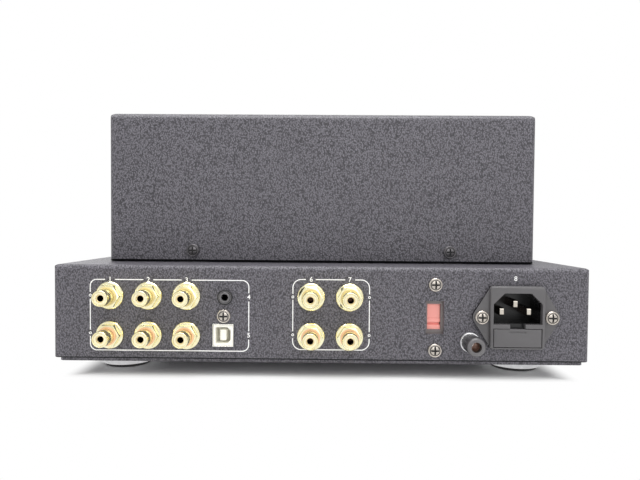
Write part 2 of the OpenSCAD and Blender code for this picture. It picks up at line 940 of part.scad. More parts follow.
// Inlet to power switch and transformer, along the side wall
module mains_wires() {
    bend = 4;
    outer_gap = 8;
    inner_gap = 14;
    lane_a = -chassis_w / 2 + outer_gap;
    lane_b = -chassis_w / 2 + inner_gap;
    tab_y = y_rear - inlet_body_l - tab_l - fit;
    tab_z = z_base + inlet_v + inlet_pin_v;
    line_x = -inlet_u + pin_pitch / 2;
    neutral_x = -inlet_u - pin_pitch / 2;
    run = 12;
    turn_y = tab_y - run;
    low_z = z_base + run;
    high_z = z_under_deck - spacer_l / 2;
    switch_y = y_inside + power_body_l + tab_l + fit;
    switch_turn = switch_y + run;
    side = wire_d * 0.75;
    grommet = grommet_xs[0];
    coil_y = cover_y - coil_d / 2 - fit;
    lead_rise = 18;
    lead_step = 8;
    lead_gap = 6;
    tab_x = switch_tab_pitch / 2;
    near_z = z_deck + lead_rise;
    far_z = near_z + lead_step;
    wire([
        [line_x, tab_y, tab_z], [line_x, turn_y, tab_z], [line_x, turn_y - run, low_z],
        [lane_a, turn_y - 2 * run, low_z], [lane_a, switch_turn + run, low_z],
        [power_x + tab_x, switch_turn, z_mid], [power_x + tab_x, switch_y, z_mid]
    ], wire_d, bend);
    wire([
        [neutral_x, tab_y, tab_z], [neutral_x, turn_y, tab_z], [lane_b, turn_y - run, tab_z],
        [lane_b, grommet_y + side + run, tab_z], [lane_b, grommet_y + side, high_z],
        [grommet, grommet_y + side, high_z], [grommet, grommet_y + side, near_z],
        [transformer_x - 2 * lead_gap, grommet_y + side, near_z],
        [transformer_x - 2 * lead_gap, coil_y, near_z]
    ], wire_d, bend * 0.8);
    wire([
        [power_x - tab_x, switch_y, z_mid], [power_x - tab_x, switch_turn - run / 3, z_mid],
        [lane_b, switch_turn + run / 2, z_mid], [lane_b, switch_turn + 2 * run, high_z],
        [lane_b, grommet_y - side, high_z],
        [grommet, grommet_y - side, high_z], [grommet, grommet_y - side, far_z],
        [transformer_x - lead_gap, grommet_y - side, far_z],
        [transformer_x - lead_gap, coil_y, far_z]
    ], wire_d, bend * 0.8);
}

// Transformer to main board, down through the second grommet
module secondary_wires() {
    bend = 3;
    coil_y = cover_y - coil_d / 2 - fit;
    grommet = grommet_xs[1];
    for (s = [-1, 1]) {
        x = transformer_x + 9 - s * 3;
        y = grommet_y + s * wire_d * 0.75;
        z = z_deck + 22 - s * 4;
        wire([
            [x, coil_y, z], [x, y, z], [grommet, y, z], [grommet, y, z_board + fit]
        ], wire_d, bend);
    }
}

// Each phono contact to the rear edge of the main board
module signal_wires() {
    bend = 3;
    start_y = y_rear - core_back - tail_l - fit;
    end_y = board_y1 - 4;
    for (u = jack_cols) {
        upper = z_base + left_row;
        lower = z_base + right_row;
        wire([
            [-u, start_y, upper], [-u, board_y1 + 7, upper], [-u, end_y, z_board + 5],
            [-u, end_y, z_board + fit]
        ], signal_d, bend * 0.6);
        wire([
            [-u, start_y, lower], [-u, end_y, lower], [-u, end_y, z_board - board_t - fit]
        ], signal_d, bend);
    }
}

// Main board and what it carries
module main_board() {
    color([0.1, 0.35, 0.2])
        difference() {
            translate([-board_w / 2, board_y0, z_board - board_t])
                cube([board_w, board_y1 - board_y0, board_t]);
            for (x = spacer_xs, y = spacer_ys)
                translate([x, y, z_board])
                    rod(small_screw_d + 2 * fit, -board_t - past, past);
        }
}

module board_spacers() {
    color(nickel)
        for (x = spacer_xs, y = spacer_ys)
            translate([x, y, z_board])
                ring(spacer_d, small_screw_d + 2 * fit, 0, spacer_l);
}

module board_screws() {
    color(nickel)
        for (x = spacer_xs, y = spacer_ys)
            translate([x, y, z_board - board_t])
                rotate([180, 0, 0])
                    small_screw();
}

module filter_capacitors() {
    pitch = filter_d + 4;
    y = (board_y0 + board_y1) / 2 + filter_d / 2 + 8;
    groove = 0.6;
    color([0.12, 0.16, 0.35])
        for (i = [0 : 3])
            translate([(i - 1.5) * pitch, y, z_board - board_t])
                rotate([180, 0, 0])
                    difference() {
                        rod(filter_d, 0, filter_h);
                        translate([0, 0, 2.5])
                            ring(filter_d + past, filter_d - 2 * groove, 0, 1.2);
                    }
}

module coupling_capacitors() {
    y = tube_y + socket_d / 2 + coupling_w;
    color([0.85, 0.65, 0.15])
        for (x = tube_xs)
            translate([x, y, z_board - board_t - coupling_h])
                linear_extrude(coupling_h)
                    round_rect([coupling_l, coupling_w], 1);
}

// Tubes
module at_tube(i) {
    translate([tube_xs[i], tube_y, z_deck + socket_proud + 0.4])
        children();
}

module tube(i) {
    inner_d = tube_d - 2 * glass_t;
    tip_d = 4;
    tip_l = 4;
    color([0.8, 0.88, 0.9, 0.5])
        at_tube(i)
            difference() {
                union() {
                    rod(tube_d, 0, tube_wall_h);
                    translate([0, 0, tube_wall_h])
                        sphere(d = tube_d);
                    translate([0, 0, tube_wall_h + tube_d / 2 - 1])
                        cylinder(d1 = tip_d, d2 = tip_d / 2, h = tip_l);
                }
                rod(inner_d, glass_t, tube_wall_h);
                translate([0, 0, tube_wall_h])
                    sphere(d = inner_d);
                pin_stubs(tube_pin_d + 2 * fit, -past, glass_t + past);
            }
}

// Nine places of a ten-place circle
module pin_stubs(d, z0, z1) {
    for (k = [0 : 8])
        rotate(126 + 36 * k)
            translate([tube_pin_circle / 2, 0, 0])
                rod(d, z0, z1);
}

module tube_electrodes() {
    mica_d = tube_d - 2 * glass_t - 0.5;
    mica_t = 0.5;
    low = 5;
    high = tube_wall_h - 5;
    plate = [6.4, 9];
    plate_wall = 0.4;
    cathode_d = 1.4;
    getter_d = 9;
    getter_wire = 0.9;
    color([0.45, 0.45, 0.46])
        for (i = [0 : tube_count - 1])
            at_tube(i) {
                pin_stubs(tube_pin_d, -tube_pin_l, low + mica_t / 2);
                for (z = [low, high])
                    rod(mica_d, z, z + mica_t);
                for (s = [-1, 1])
                    translate([s * (plate[0] / 2 + 0.6), 0, low + mica_t / 2]) {
                        linear_extrude(high - low)
                            difference() {
                                round_rect(plate, 1.2);
                                round_rect(plate - 2 * [plate_wall, plate_wall], 1.2 - plate_wall);
                            }
                        rod(cathode_d, 0, high - low);
                    }
                rod(getter_wire, high, high + 6);
                translate([0, 0, high + 6])
                    rotate_extrude()
                        translate([getter_d / 2, 0])
                            circle(d = getter_wire);
                translate([-getter_d / 2, -getter_wire / 4, high + 6 - getter_wire / 4])
                    cube([getter_d, getter_wire / 2, getter_wire / 2]);
            }
}

module tube_sockets() {
    well_d = 5;
    grip_l = tube_pin_l + 1;
    color([0.92, 0.9, 0.86])
        for (x = tube_xs)
            on_deck(x, tube_y)
                difference() {
                    rod(socket_d, -sheet_t - spacer_l, socket_proud);
                    translate([0, 0, socket_proud])
                        pin_stubs(tube_pin_d + 4 * fit, -grip_l, past);
                    rod(well_d, socket_proud - grip_l, socket_proud + past);
                }
}

// Phono jacks
module jack_shell() {
    edge = 0.5;
    color(gold)
        difference() {
            union() {
                rod(jack_shank_d, -jack_shank_l, past);
                rod(jack_flange_d, 0, jack_flange_t - edge);
                translate([0, 0, jack_flange_t - edge])
                    cylinder(d1 = jack_flange_d, d2 = jack_flange_d - 2 * edge, h = edge);
                hexagon(jack_hex, jack_flange_t - edge, jack_ring_z);
                rod(jack_neck_d, jack_flange_t, jack_barrel_z + past);
                rod(jack_barrel_d, jack_barrel_z, jack_tip - edge);
                translate([0, 0, jack_tip - edge])
                    cylinder(d1 = jack_barrel_d, d2 = jack_barrel_d - edge, h = edge);
            }
            rod(jack_core_d + 2 * fit, -jack_shank_l - past, jack_tip + past);
        }
}

module jack_row(cols, v) {
    for (u = cols)
        on_rear(u, v)
            children();
}

module jack_insulator() {
    ring(jack_core_d, jack_contact_d + 2 * fit, -core_back, jack_tip - 0.3);
    ring(jack_ring_d, jack_neck_d + 2 * fit, jack_ring_z, jack_barrel_z);
}

module jack_insulators_left() {
    color([0.93, 0.91, 0.85])
        jack_row(jack_cols, left_row)
            jack_insulator();
}

module jack_insulators_right() {
    color([0.7, 0.12, 0.1])
        jack_row(jack_cols, right_row)
            jack_insulator();
}

module jack_contacts() {
    tail_d = 2.4;
    front = jack_tip - contact_recess;
    color(gold)
        for (v = [left_row, right_row])
            jack_row(jack_cols, v)
                difference() {
                    union() {
                        rod(jack_contact_d, -core_back, front);
                        rod(tail_d, -core_back - tail_l, 0);
                    }
                    rod(jack_bore_d, front - jack_bore_l, front + past);
                }
}

module jack_nuts() {
    color(gold)
        for (v = [left_row, right_row])
            jack_row(jack_cols, v)
                difference() {
                    hexagon(jack_hex, -sheet_t - jack_nut_t, -sheet_t);
                    rod(jack_shank_d + 2 * fit, -sheet_t - jack_nut_t - past, past);
                }
}

// Digital inputs
module minijack() {
    nut_t = 1.6;
    bush_out = 2.4;
    body_h = 9;
    left = usb_u - usb_w / 2;
    right = minijack_u + body_h / 2;
    color(black) {
        difference() {
            union() {
                on_rear(minijack_u, minijack_v)
                    rod(minijack_bush_d, -sheet_t - past, bush_out);
                on_rear((left + right) / 2, minijack_v)
                    slab([right - left, body_h], -sheet_t - minijack_body_l, -sheet_t);
            }
            on_rear(minijack_u, minijack_v)
                rod(minijack_bore_d, -minijack_body_l, bush_out + past);
        }
        on_rear(minijack_u, minijack_v)
            ring(minijack_nut_d, minijack_bush_d + 2 * fit, 0, nut_t);
    }
}

module usb_shell() {
    color(nickel)
        on_rear(usb_u, usb_v)
            difference() {
                slab([usb_w, usb_h], usb_proud - usb_l, usb_proud);
                slab([usb_w - 2 * usb_wall, usb_h - 2 * usb_wall], -usb_l - past, usb_proud + past);
            }
}

module usb_insert() {
    slot_w = 7.8;
    slot_h = 8.4;
    slot_cut = 1.7;
    slot_l = 9;
    tongue_w = 3.2;
    tongue_h = 5.6;
    front = usb_proud - 0.2;
    color("white")
        on_rear(usb_u, usb_v) {
            difference() {
                slab(
                    [usb_w - 2 * usb_wall - 2 * fit, usb_h - 2 * usb_wall - 2 * fit],
                    usb_proud - usb_l, front
                );
                translate([0, 0, front - slot_l])
                    linear_extrude(slot_l + past)
                        polygon([
                            [-slot_w / 2, -slot_h / 2], [slot_w / 2 - slot_cut, -slot_h / 2],
                            [slot_w / 2, -slot_h / 2 + slot_cut], [slot_w / 2, slot_h / 2 - slot_cut],
                            [slot_w / 2 - slot_cut, slot_h / 2], [-slot_w / 2, slot_h / 2]
                        ]);
            }
            slab([tongue_w, tongue_h], front - slot_l - past, front - 0.8);
        }
}

module digital_board() {
    face = usb_u - usb_w / 2 - fit;
    low = usb_v - usb_h / 2;
    high = minijack_v + 6;
    boss = [digital_screw_u + 4 - face, 7, 8];
    color([0.1, 0.3, 0.2]) {
        on_rear(face - board_t / 2, (low + high) / 2)
            slab([board_t, high - low], -sheet_t - digital_board_l, -sheet_t - fit);
        difference() {
            on_rear(face + boss[0] / 2, row_mid)
                slab([boss[0], boss[1]], -sheet_t - boss[2], -sheet_t);
            on_rear(digital_screw_u, row_mid)
                rod(screw_d + 2 * fit, -sheet_t - boss[2] - past, past);
        }
    }
}

module rear_screws() {
    color(nickel) {
        for (p = concat(switch_screws, [[digital_screw_u, row_mid]]))
            on_rear(p[0], p[1])
                show_screw();
        for (p = inlet_screws)
            on_rear(p[0], p[1])
                translate([0, 0, ear_t])
                    show_screw();
    }
}

// Voltage selector behind its window
module voltage_switch() {
    strip_end = 3.4;
    chamber_h = slider_h + slider_travel + 2 * slide_fit;
    chamber_w = slider_w + 2 * slide_fit;
    chamber_back = slider_z + slider_t + slide_fit;
    color([0.2, 0.2, 0.21])
        on_rear(switch_u, switch_v)
            difference() {
                union() {
                    slab([switch_body_w, switch_screw_span + 2 * strip_end], -strip_back, -sheet_t);
                    slab([switch_body_w, switch_body_h], -strip_back - switch_body_l, -strip_back);
                }
                slab([window_w, window_h], -strip_back, past);
                slab([slider_w, slider_view_h], -slider_z - past, past);
                slab([chamber_w, chamber_h], -chamber_back, -slider_z + fit);
                for (s = [-1, 1])
                    translate([0, s * switch_screw_span / 2, 0])
                        rod(screw_d + 2 * fit, -strip_back - past, past);
            }
}

// At rest the slider is at the lower end of its travel
module voltage_slider() {
    groove_h = 1.2;
    groove_t = 1.5;
    groove_low = 1.3;
    rib_top = 1.6;
    face_t = 0.5;
    color([0.75, 0.1, 0.1])
        on_rear(switch_u, switch_v - slider_travel / 2)
            difference() {
                slab([slider_w, slider_h], -slider_z - slider_t, -slider_z);
                translate([0, -groove_low, 0])
                    slab([slider_w + 2 * past, groove_h], -slider_z - groove_t, past);
                translate([0, rib_top + slider_h / 2, 0])
                    slab([slider_w + 2 * past, slider_h], -slider_z - face_t, past);
            }
}

// Mains inlet
function touch(p, c, r, s) =
    let (d = norm(p - c), a = atan2(p[1] - c[1], p[0] - c[0]) + s * acos(r / d))
    c + r * [cos(a), sin(a)];

module ears() {
    half = [inlet_w / 2, inlet_h / 2 - 1.5];
    c = [inlet_screw_span / 2, 0];
    t = touch(half, c, ear_r, -1);
    for (s = [0, 1])
        mirror([s, 0])
            polygon([
                [0, half[1]], half, t, [t[0], -t[1]], [half[0], -half[1]], [0, -half[1]]
            ]);
    for (s = [-1, 1])
        translate([s * c[0], 0])
            circle(ear_r);
}

module recess_outline() {
    w = recess_w / 2;
    h = recess_h / 2;
    polygon([
        [-w, -h], [w, -h], [w, h - recess_cut], [w - recess_cut, h],
        [recess_cut - w, h], [-w, h - recess_cut]
    ]);
}

// Each child is placed at a pin, the last one at the earth pin
module at_pins() {
    for (s = [-1, 1])
        translate([s * pin_pitch / 2, inlet_pin_v, 0])
            children();
    translate([0, inlet_pin_v + earth_rise, 0])
        children();
}

module mains_inlet() {
    floor_z = inlet_proud - recess_l;
    notch_w = 8;
    notch_l = 3;
    web_top = recess_v - recess_h / 2;
    drawer_top = drawer_v + drawer_h / 2;
    color(black)
        on_rear(inlet_u, inlet_v)
            difference() {
                union() {
                    linear_extrude(ear_t)
                        ears();
                    linear_extrude(inlet_proud)
                        round_rect([inlet_w, inlet_h], 1.8);
                    slab([recess_w + 2, inlet_h - 1], -inlet_body_l, past);
                }
                translate([0, recess_v, floor_z])
                    linear_extrude(recess_l + past)
                        recess_outline();
                translate([0, drawer_v, 0])
                    slab(
                        [drawer_w + 2 * fit, drawer_h + 2 * slide_fit],
                        inlet_proud - drawer_l - slide_fit, inlet_proud + past
                    );
                translate([0, (web_top + drawer_top) / 2, 0])
                    slab(
                        [notch_w, web_top - drawer_top + 2 * slide_fit],
                        inlet_proud - notch_l, inlet_proud + past
                    );
                at_pins()
                    slab([pin_w + 2 * fit, pin_h + 2 * fit], -inlet_body_l - past, floor_z + past);
                for (s = [-1, 1])
                    translate([s * inlet_screw_span / 2, 0, 0])
                        rod(screw_d + 2 * fit, -past, ear_t + past);
            }
}

module inlet_pins() {
    tip_drop = 4;
    tab_w = 0.8;
    color(nickel)
        on_rear(inlet_u, inlet_v)
            at_pins() {
                slab([pin_w, pin_h], -inlet_body_l, inlet_proud - tip_drop);
                slab([tab_w, pin_h + 1.6], -inlet_body_l - tab_l, -inlet_body_l);
            }
}

module fuse_drawer() {
    face_t = 2.6;
    tray_w = fuse_l + 2.4;
    color(black)
        on_rear(inlet_u, inlet_v)
            translate([0, drawer_v, 0])
                difference() {
                    union() {
                        slab([drawer_w - 2 * slide_fit, drawer_h], inlet_proud - face_t, inlet_proud);
                        slab([tray_w, drawer_h], inlet_proud - drawer_l, inlet_proud - face_t);
                    }
                    at_fuses() {
                        fuse_slot();
                    }
                    translate([0, drawer_h / 2 - 1.6, inlet_proud])
                        slab([drawer_w / 3, 0.8], -0.5, past);
                }
}

// A round bed for a fuse, open upwards
module fuse_slot() {
    rotate([0, 90, 0])
        rod(fuse_d + 2 * fit, -fuse_l / 2 - fit, fuse_l / 2 + fit);
    translate([-fuse_l / 2 - fit, 0, -fuse_d / 2 - fit])
        cube([fuse_l + 2 * fit, drawer_h, fuse_d + 2 * fit]);
}

module at_fuses() {
    for (z = [inlet_proud - drawer_l + fuse_d / 2 + 1.2, inlet_proud - drawer_l + 1.6 * fuse_d + 2.4])
        translate([0, -drawer_h / 2 + fuse_d / 2 + 1.4, z])
            children();
}

module fuses() {
    end_l = 5;
    tube_in = 0.3;
    color(nickel)
        on_rear(inlet_u, inlet_v)
            translate([0, drawer_v, 0])
                at_fuses()
                    rotate([0, 90, 0]) {
                        rod(fuse_d - 2 * tube_in, -fuse_l / 2, fuse_l / 2);
                        rod(fuse_d, -fuse_l / 2, end_l - fuse_l / 2);
                        rod(fuse_d, fuse_l / 2 - end_l, fuse_l / 2);
                    }
}

// Ground terminal
module ground_post() {
    back = 9;
    nut_t = 3;
    color(nickel)
        on_rear(post_u, post_v) {
            difference() {
                union() {
                    rod(post_stud_d, -back, post_stud_l);
                    rod(post_collar_d, 0, post_collar_t);
                }
                rod(post_bore_d, post_collar_t, post_stud_l + past);
            }
            difference() {
                hexagon(post_stud_d + 3, -sheet_t - nut_t, -sheet_t);
                rod(post_stud_d + 2 * fit, -sheet_t - nut_t - past, past);
            }
        }
}

module ground_insert() {
    color([0.75, 0.6, 0.3])
        on_rear(post_u, post_v)
            ring(
                insert_d, post_stud_d + 2 * fit,
                post_collar_t + 2 * cap_gap, post_stud_l - cap_gap
            );
}

module ground_cap() {
    edge = 0.8;
    flutes = 12;
    flute_d = 1.2;
    color(black)
        on_rear(post_u, post_v)
            difference() {
                union() {
                    rod(post_cap_d, post_collar_t + cap_gap, post_tip - edge);
                    translate([0, 0, post_tip - edge])
                        cylinder(d1 = post_cap_d, d2 = post_cap_d - 2 * edge, h = edge);
                }
                rod(insert_d + 2 * fit, 0, post_stud_l + cap_gap);
                rod(post_mouth_d, 0, post_tip + past);
                for (i = [0 : flutes - 1])
                    rotate(i * 360 / flutes)
                        translate([post_cap_d / 2 + flute_d / 4, 0, 0])
                            rod(flute_d, post_collar_t, post_tip - 3 * edge);
            }
}

// Front panel and its controls
module front_panel() {
    w = chassis_w;
    h = chassis_h + 2 * panel_over;
    color(alloy)
        difference() {
            intersection() {
                translate([0, y_front, z_mid - h / 2])
                    linear_extrude(h)
                        bevelled(w);
                translate([-w / 2, y_front, z_mid])
                    rotate([90, 0, 90])
                        linear_extrude(w)
                            rotate(-90)
                                bevelled(h);
            }
            for (x = [volume_x, selector_x])
                on_front(x) {
                    rod(shaft_d + 2 * slide_fit, -panel_t - past, past);
                    rod(bush_well_d, -panel_t - past, -panel_t + bush_well_l);
                }
            on_front(power_x)
                rod(button_d + 2 * slide_fit, -panel_t - past, past);
            on_front(pilot_x)
                rod(pilot_d + 2 * fit, -panel_t - past, past);
            for (s = [-1, 1], z = panel_screw_zs)
                translate([s * panel_screw_x, y_front, z])
                    rotate([90, 0, 0])
                        rod(small_screw_d + 2 * fit, -past, small_screw_l - sheet_t + 0.5);
        }
}

// Section of the panel: its front corners are cut by the bevel
module bevelled(w) {
    polygon([
        [-w / 2, 0], [w / 2, 0], [w / 2, panel_bevel - panel_t],
        [w / 2 - panel_bevel, -panel_t], [panel_bevel - w / 2, -panel_t],
        [-w / 2, panel_bevel - panel_t]
    ]);
}

// Knob: bevelled front, dished face, hollow back and a pointer groove
module knob(d, l) {
    edge = 1;
    dish = 0.5;
    rim = 3;
    boss_d = shaft_d + 7;
    pointer_w = 1.4;
    pointer_t = 0.8;
    difference() {
        union() {
            rod(d, knob_gap, knob_gap + l - edge);
            translate([0, 0, knob_gap + l - edge])
                cylinder(d1 = d, d2 = d - 2 * edge, h = edge);
        }
        translate([0, 0, knob_gap + l - dish])
            rod(d - 2 * rim, 0, dish + past);
        difference() {
            rod(d - 2 * rim, 0, knob_gap + l - rim);
            rod(boss_d, 0, knob_gap + l);
        }
        rod(shaft_d + 2 * fit, 0, knob_gap + knob_bore_l);
        translate([0, d / 2, 0])
            slab([pointer_w, d * 0.55], knob_gap + l - pointer_t - dish, knob_gap + l + past);
    }
}

module shaft() {
    flat = 0.8;
    difference() {
        rod(shaft_d, -panel_t - sheet_t - shaft_in, knob_gap + knob_bore_l - fit);
        translate([0, shaft_d - flat, 0])
            slab([shaft_d, shaft_d], knob_gap + 2, knob_gap + knob_bore_l + past);
    }
}

// Threaded bushing with the shaft's running bore, in front of the body
module bushing() {
    rod(bush_d, -panel_t - sheet_t - past, -panel_t - sheet_t + bush_l);
}

module shaft_bore() {
    rod(shaft_d + 2 * fit, -panel_t - sheet_t - shaft_in - fit, past);
}

module volume_knob() {
    color(alloy)
        on_front(volume_x)
            knob(volume_knob_d, volume_knob_l);
}

module volume_shaft() {
    color(nickel)
        on_front(volume_x)
            shaft();
}

module volume_control() {
    back = -panel_t - sheet_t;
    color([0.15, 0.3, 0.55])
        on_front(volume_x)
            difference() {
                union() {
                    bushing();
                    translate([0, 0, back - volume_body_l])
                        linear_extrude(volume_body_l)
                            round_rect([volume_body_w, volume_body_w], 2);
                }
                shaft_bore();
            }
}

module selector_knob() {
    color(alloy)
        on_front(selector_x)
            knob(selector_knob_d, selector_knob_l);
}

module selector_shaft() {
    color(nickel)
        on_front(selector_x)
            shaft();
}

// Rotary switch with two wafers
module selector_switch() {
    back = -panel_t - sheet_t;
    wafer_t = 2;
    hub_d = selector_body_d * 0.6;
    color([0.55, 0.4, 0.2])
        on_front(selector_x)
            difference() {
                union() {
                    bushing();
                    rod(selector_body_d, back - selector_body_l / 3, back);
                    rod(hub_d, back - selector_body_l, back);
                    for (k = [2, 3])
                        translate([0, 0, back - k * selector_body_l / 3])
                            rod(selector_body_d, 0, wafer_t);
                }
                shaft_bore();
            }
}

module bushing_nuts() {
    color(nickel)
        for (x = [volume_x, selector_x])
            on_front(x)
                difference() {
                    hexagon(bush_nut, -panel_t, -panel_t + bush_nut_t);
                    rod(bush_d + 2 * fit, -panel_t - past, past);
                }
}

module power_button() {
    edge = 0.6;
    cap_back = -panel_t + button_travel + slide_fit;
    color(alloy)
        on_front(power_x) {
            rod(button_d, cap_back, button_proud - edge);
            translate([0, 0, button_proud - edge])
                cylinder(d1 = button_d, d2 = button_d - 2 * edge, h = edge);
            rod(stem_d, -panel_t - sheet_t - stem_in, cap_back);
        }
}

module power_switch() {
    back = -panel_t - sheet_t;
    bore_l = stem_in + button_travel + 2 * slide_fit;
    tab = [0.8, 4.8];
    color(black)
        on_front(power_x) {
            difference() {
                slab([power_body_w, power_body_w], back - power_body_l, back);
                rod(stem_d + 2 * fit, back - bore_l, past);
            }
            for (s = [-1, 1])
                translate([s * switch_tab_pitch / 2, 0, 0])
                    slab(tab, back - power_body_l - tab_l, back - power_body_l);
        }
}

module pilot_light() {
    back = -panel_t - sheet_t;
    dome = 1;
    flange_d = pilot_d + 1;
    body_l = 5;
    color([0.3, 0.55, 0.95])
        on_front(pilot_x) {
            rod(pilot_d, back - 0.5, dome - pilot_d / 4);
            intersection() {
                rod(pilot_d, 0, dome);
                translate([0, 0, dome - pilot_d * 0.7])
                    sphere(pilot_d * 0.7);
            }
            rod(flange_d, back - body_l, back);
        }
}

// Drawing
chassis_shell();
bottom_plate();
front_panel();
transformer_cover();
cover_brackets();
cover_screws();
underside_screws();
panel_screws();
feet();
foot_pads();
transformer_core();
transformer_coil();
transformer_frame();
transformer_bolts();
lead_grommets();
internal_wiring();
main_board();
board_spacers();
board_screws();
filter_capacitors();
coupling_capacitors();
for (i = [1 : tube_count]) {
    tube(i - 1);
}
tube_electrodes();
tube_sockets();
jack_row(input_cols, left_row) jack_shell();  // input_jacks_left
jack_row(input_cols, right_row) jack_shell();  // input_jacks_right
jack_row(output_cols, left_row) jack_shell();  // output_jacks_left
jack_row(output_cols, right_row) jack_shell();  // output_jacks_right
jack_insulators_left();
jack_insulators_right();
jack_contacts();
jack_nuts();
minijack();
usb_shell();
usb_insert();
digital_board();
rear_screws();
voltage_switch();
voltage_slider();
mains_inlet();
inlet_pins();
fuse_drawer();
fuses();
ground_post();
ground_insert();
ground_cap();
volume_knob();
volume_shaft();
volume_control();
selector_knob();
selector_shaft();
selector_switch();
bushing_nuts();
power_button();
power_switch();
pilot_light();
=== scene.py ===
import json
import math

import bmesh
import bpy
from mathutils import Matrix, Vector

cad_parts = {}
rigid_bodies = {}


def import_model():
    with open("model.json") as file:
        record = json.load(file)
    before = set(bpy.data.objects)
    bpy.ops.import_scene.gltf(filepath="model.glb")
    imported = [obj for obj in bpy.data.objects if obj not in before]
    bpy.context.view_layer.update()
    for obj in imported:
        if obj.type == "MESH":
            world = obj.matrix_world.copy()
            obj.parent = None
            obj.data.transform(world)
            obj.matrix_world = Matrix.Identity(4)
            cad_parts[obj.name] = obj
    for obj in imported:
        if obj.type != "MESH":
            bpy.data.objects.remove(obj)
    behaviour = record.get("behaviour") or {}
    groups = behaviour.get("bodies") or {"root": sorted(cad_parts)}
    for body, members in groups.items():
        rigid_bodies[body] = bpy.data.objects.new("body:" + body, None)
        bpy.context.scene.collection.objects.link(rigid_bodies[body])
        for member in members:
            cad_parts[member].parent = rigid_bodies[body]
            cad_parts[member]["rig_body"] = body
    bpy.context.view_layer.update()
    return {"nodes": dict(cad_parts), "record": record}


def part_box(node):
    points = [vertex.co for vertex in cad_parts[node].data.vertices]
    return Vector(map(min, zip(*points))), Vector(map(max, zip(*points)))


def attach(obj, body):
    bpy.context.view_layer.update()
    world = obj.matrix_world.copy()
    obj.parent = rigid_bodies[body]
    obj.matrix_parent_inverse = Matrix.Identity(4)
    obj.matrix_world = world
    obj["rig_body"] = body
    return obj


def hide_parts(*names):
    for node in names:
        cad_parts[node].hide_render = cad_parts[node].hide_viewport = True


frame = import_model()
nodes = frame["nodes"]
scene = bpy.context.scene
mm = 0.001

# Places of the unit's faces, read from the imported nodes
chassis_low, chassis_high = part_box("chassis_shell")
panel_low, panel_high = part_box("front_panel")
rear_y = chassis_high.y
base_z = chassis_low.z
front_y = panel_low.y
middle_z = (panel_low.z + panel_high.z) / 2


class Wire:
    """An output socket of a node tree. Arithmetic on it adds Math nodes."""

    def __init__(self, tree, socket):
        self.tree = tree
        self.socket = socket

    def make(self, kind, settings=None, sockets=None, out=0):
        """Adds a node: its settings come first, then the values or links of its sockets."""
        node = self.tree.nodes.new(kind)
        for key, value in (settings or {}).items():
            if key == "stops":
                fill_ramp(node.color_ramp, value)
            else:
                setattr(node, key, value)
        for key, value in (sockets or {}).items():
            if isinstance(value, Wire):
                self.tree.links.new(value.socket, node.inputs[key])
            else:
                node.inputs[key].default_value = value
        return Wire(self.tree, node.outputs[out])

    def math(self, operation, *terms, clamp=False):
        settings = {"operation": operation, "use_clamp": clamp}
        return self.make("ShaderNodeMath", settings, dict(enumerate(terms)))

    def __add__(self, other):
        return self.math("ADD", self, other)

    def __sub__(self, other):
        return self.math("SUBTRACT", self, other)

    def __rsub__(self, other):
        return self.math("SUBTRACT", other, self)

    def __mul__(self, other):
        return self.math("MULTIPLY", self, other)

    def __truediv__(self, other):
        return self.math("DIVIDE", self, other)


def fill_ramp(ramp, stops):
    """Sets a colour ramp's stops, each a place and a grey or a colour."""
    while len(ramp.elements) < len(stops):
        ramp.elements.new(0.5)
    for element, (place, colour) in zip(ramp.elements, stops):
        element.position = place
        element.color = (*(colour if isinstance(colour, tuple) else [colour] * 3), 1)


# Patterns on Object coordinates, which are metres
def new_finish(name, **plain):
    """A material whose shader takes the plain values. Returns it with its Object coordinates."""
    material = bpy.data.materials.new(name)
    material.use_nodes = True
    tree = material.node_tree
    shader = tree.nodes["Principled BSDF"]
    for key, value in plain.items():
        shader.inputs[key.replace("_", " ").title().replace("Ior", "IOR")].default_value = value
    return material, Wire(tree, tree.nodes.new("ShaderNodeTexCoord").outputs["Object"])


def dress(material, colour, roughness=None, normal=None, **more):
    """Links what changes over the surface to the material's shader."""
    shader = material.node_tree.nodes["Principled BSDF"]
    links = {"Base Color": colour, "Roughness": roughness, "Normal": normal, **more}
    for key, value in links.items():
        if value is not None:
            material.node_tree.links.new(value.socket, shader.inputs[key])
    return material


def stretch(place, x, y, z):
    return place.make("ShaderNodeMapping", {}, {"Vector": place, "Scale": (x, y, z)})


def noise(place, size, detail=3.0, out="Fac"):
    """Cloudy pattern whose patches are about size across."""
    given = {"Vector": place, "Scale": 1 / size, "Detail": detail}
    return place.make("ShaderNodeTexNoise", {}, given, out)


def wander(place, size, reach):
    """Coordinates pushed about by a cloudy pattern."""
    cloud = noise(place, size, 2.0, "Color")
    kind, grey = "ShaderNodeVectorMath", (0.5, 0.5, 0.5)
    middle = place.make(kind, {"operation": "SUBTRACT"}, {0: cloud, 1: grey})
    push = place.make(kind, {"operation": "SCALE"}, {0: middle, "Scale": reach})
    return place.make(kind, {"operation": "ADD"}, {0: place, 1: push})


def axis_of(place, axis):
    return place.make("ShaderNodeSeparateXYZ", {}, {0: place}, axis)


def ramp(value, *stops):
    return value.make("ShaderNodeValToRGB", {"stops": stops}, {"Fac": value}, "Color")


def blend(mask, low, high):
    """Colour between low and high."""
    kind = {"data_type": "RGBA"}
    low = low if isinstance(low, Wire) else (*low, 1)
    high = high if isinstance(high, Wire) else (*high, 1)
    return mask.make("ShaderNodeMix", kind, {0: mask, 6: low, 7: high}, 2)


def between(value, low, high):
    """Number that runs from low to high as value runs from 0 to 1."""
    return value * (high - low) + low


def bump(height, depth, strength):
    given = {"Height": height, "Distance": depth, "Strength": strength}
    return height.make("ShaderNodeBump", {}, given, "Normal")


def band(value, middle, half, soft):
    """1 within half of middle and 0 beyond, with a soft edge."""
    reach = value.math("ABSOLUTE", value - middle)
    return value.math("DIVIDE", half + soft - reach, soft, clamp=True)


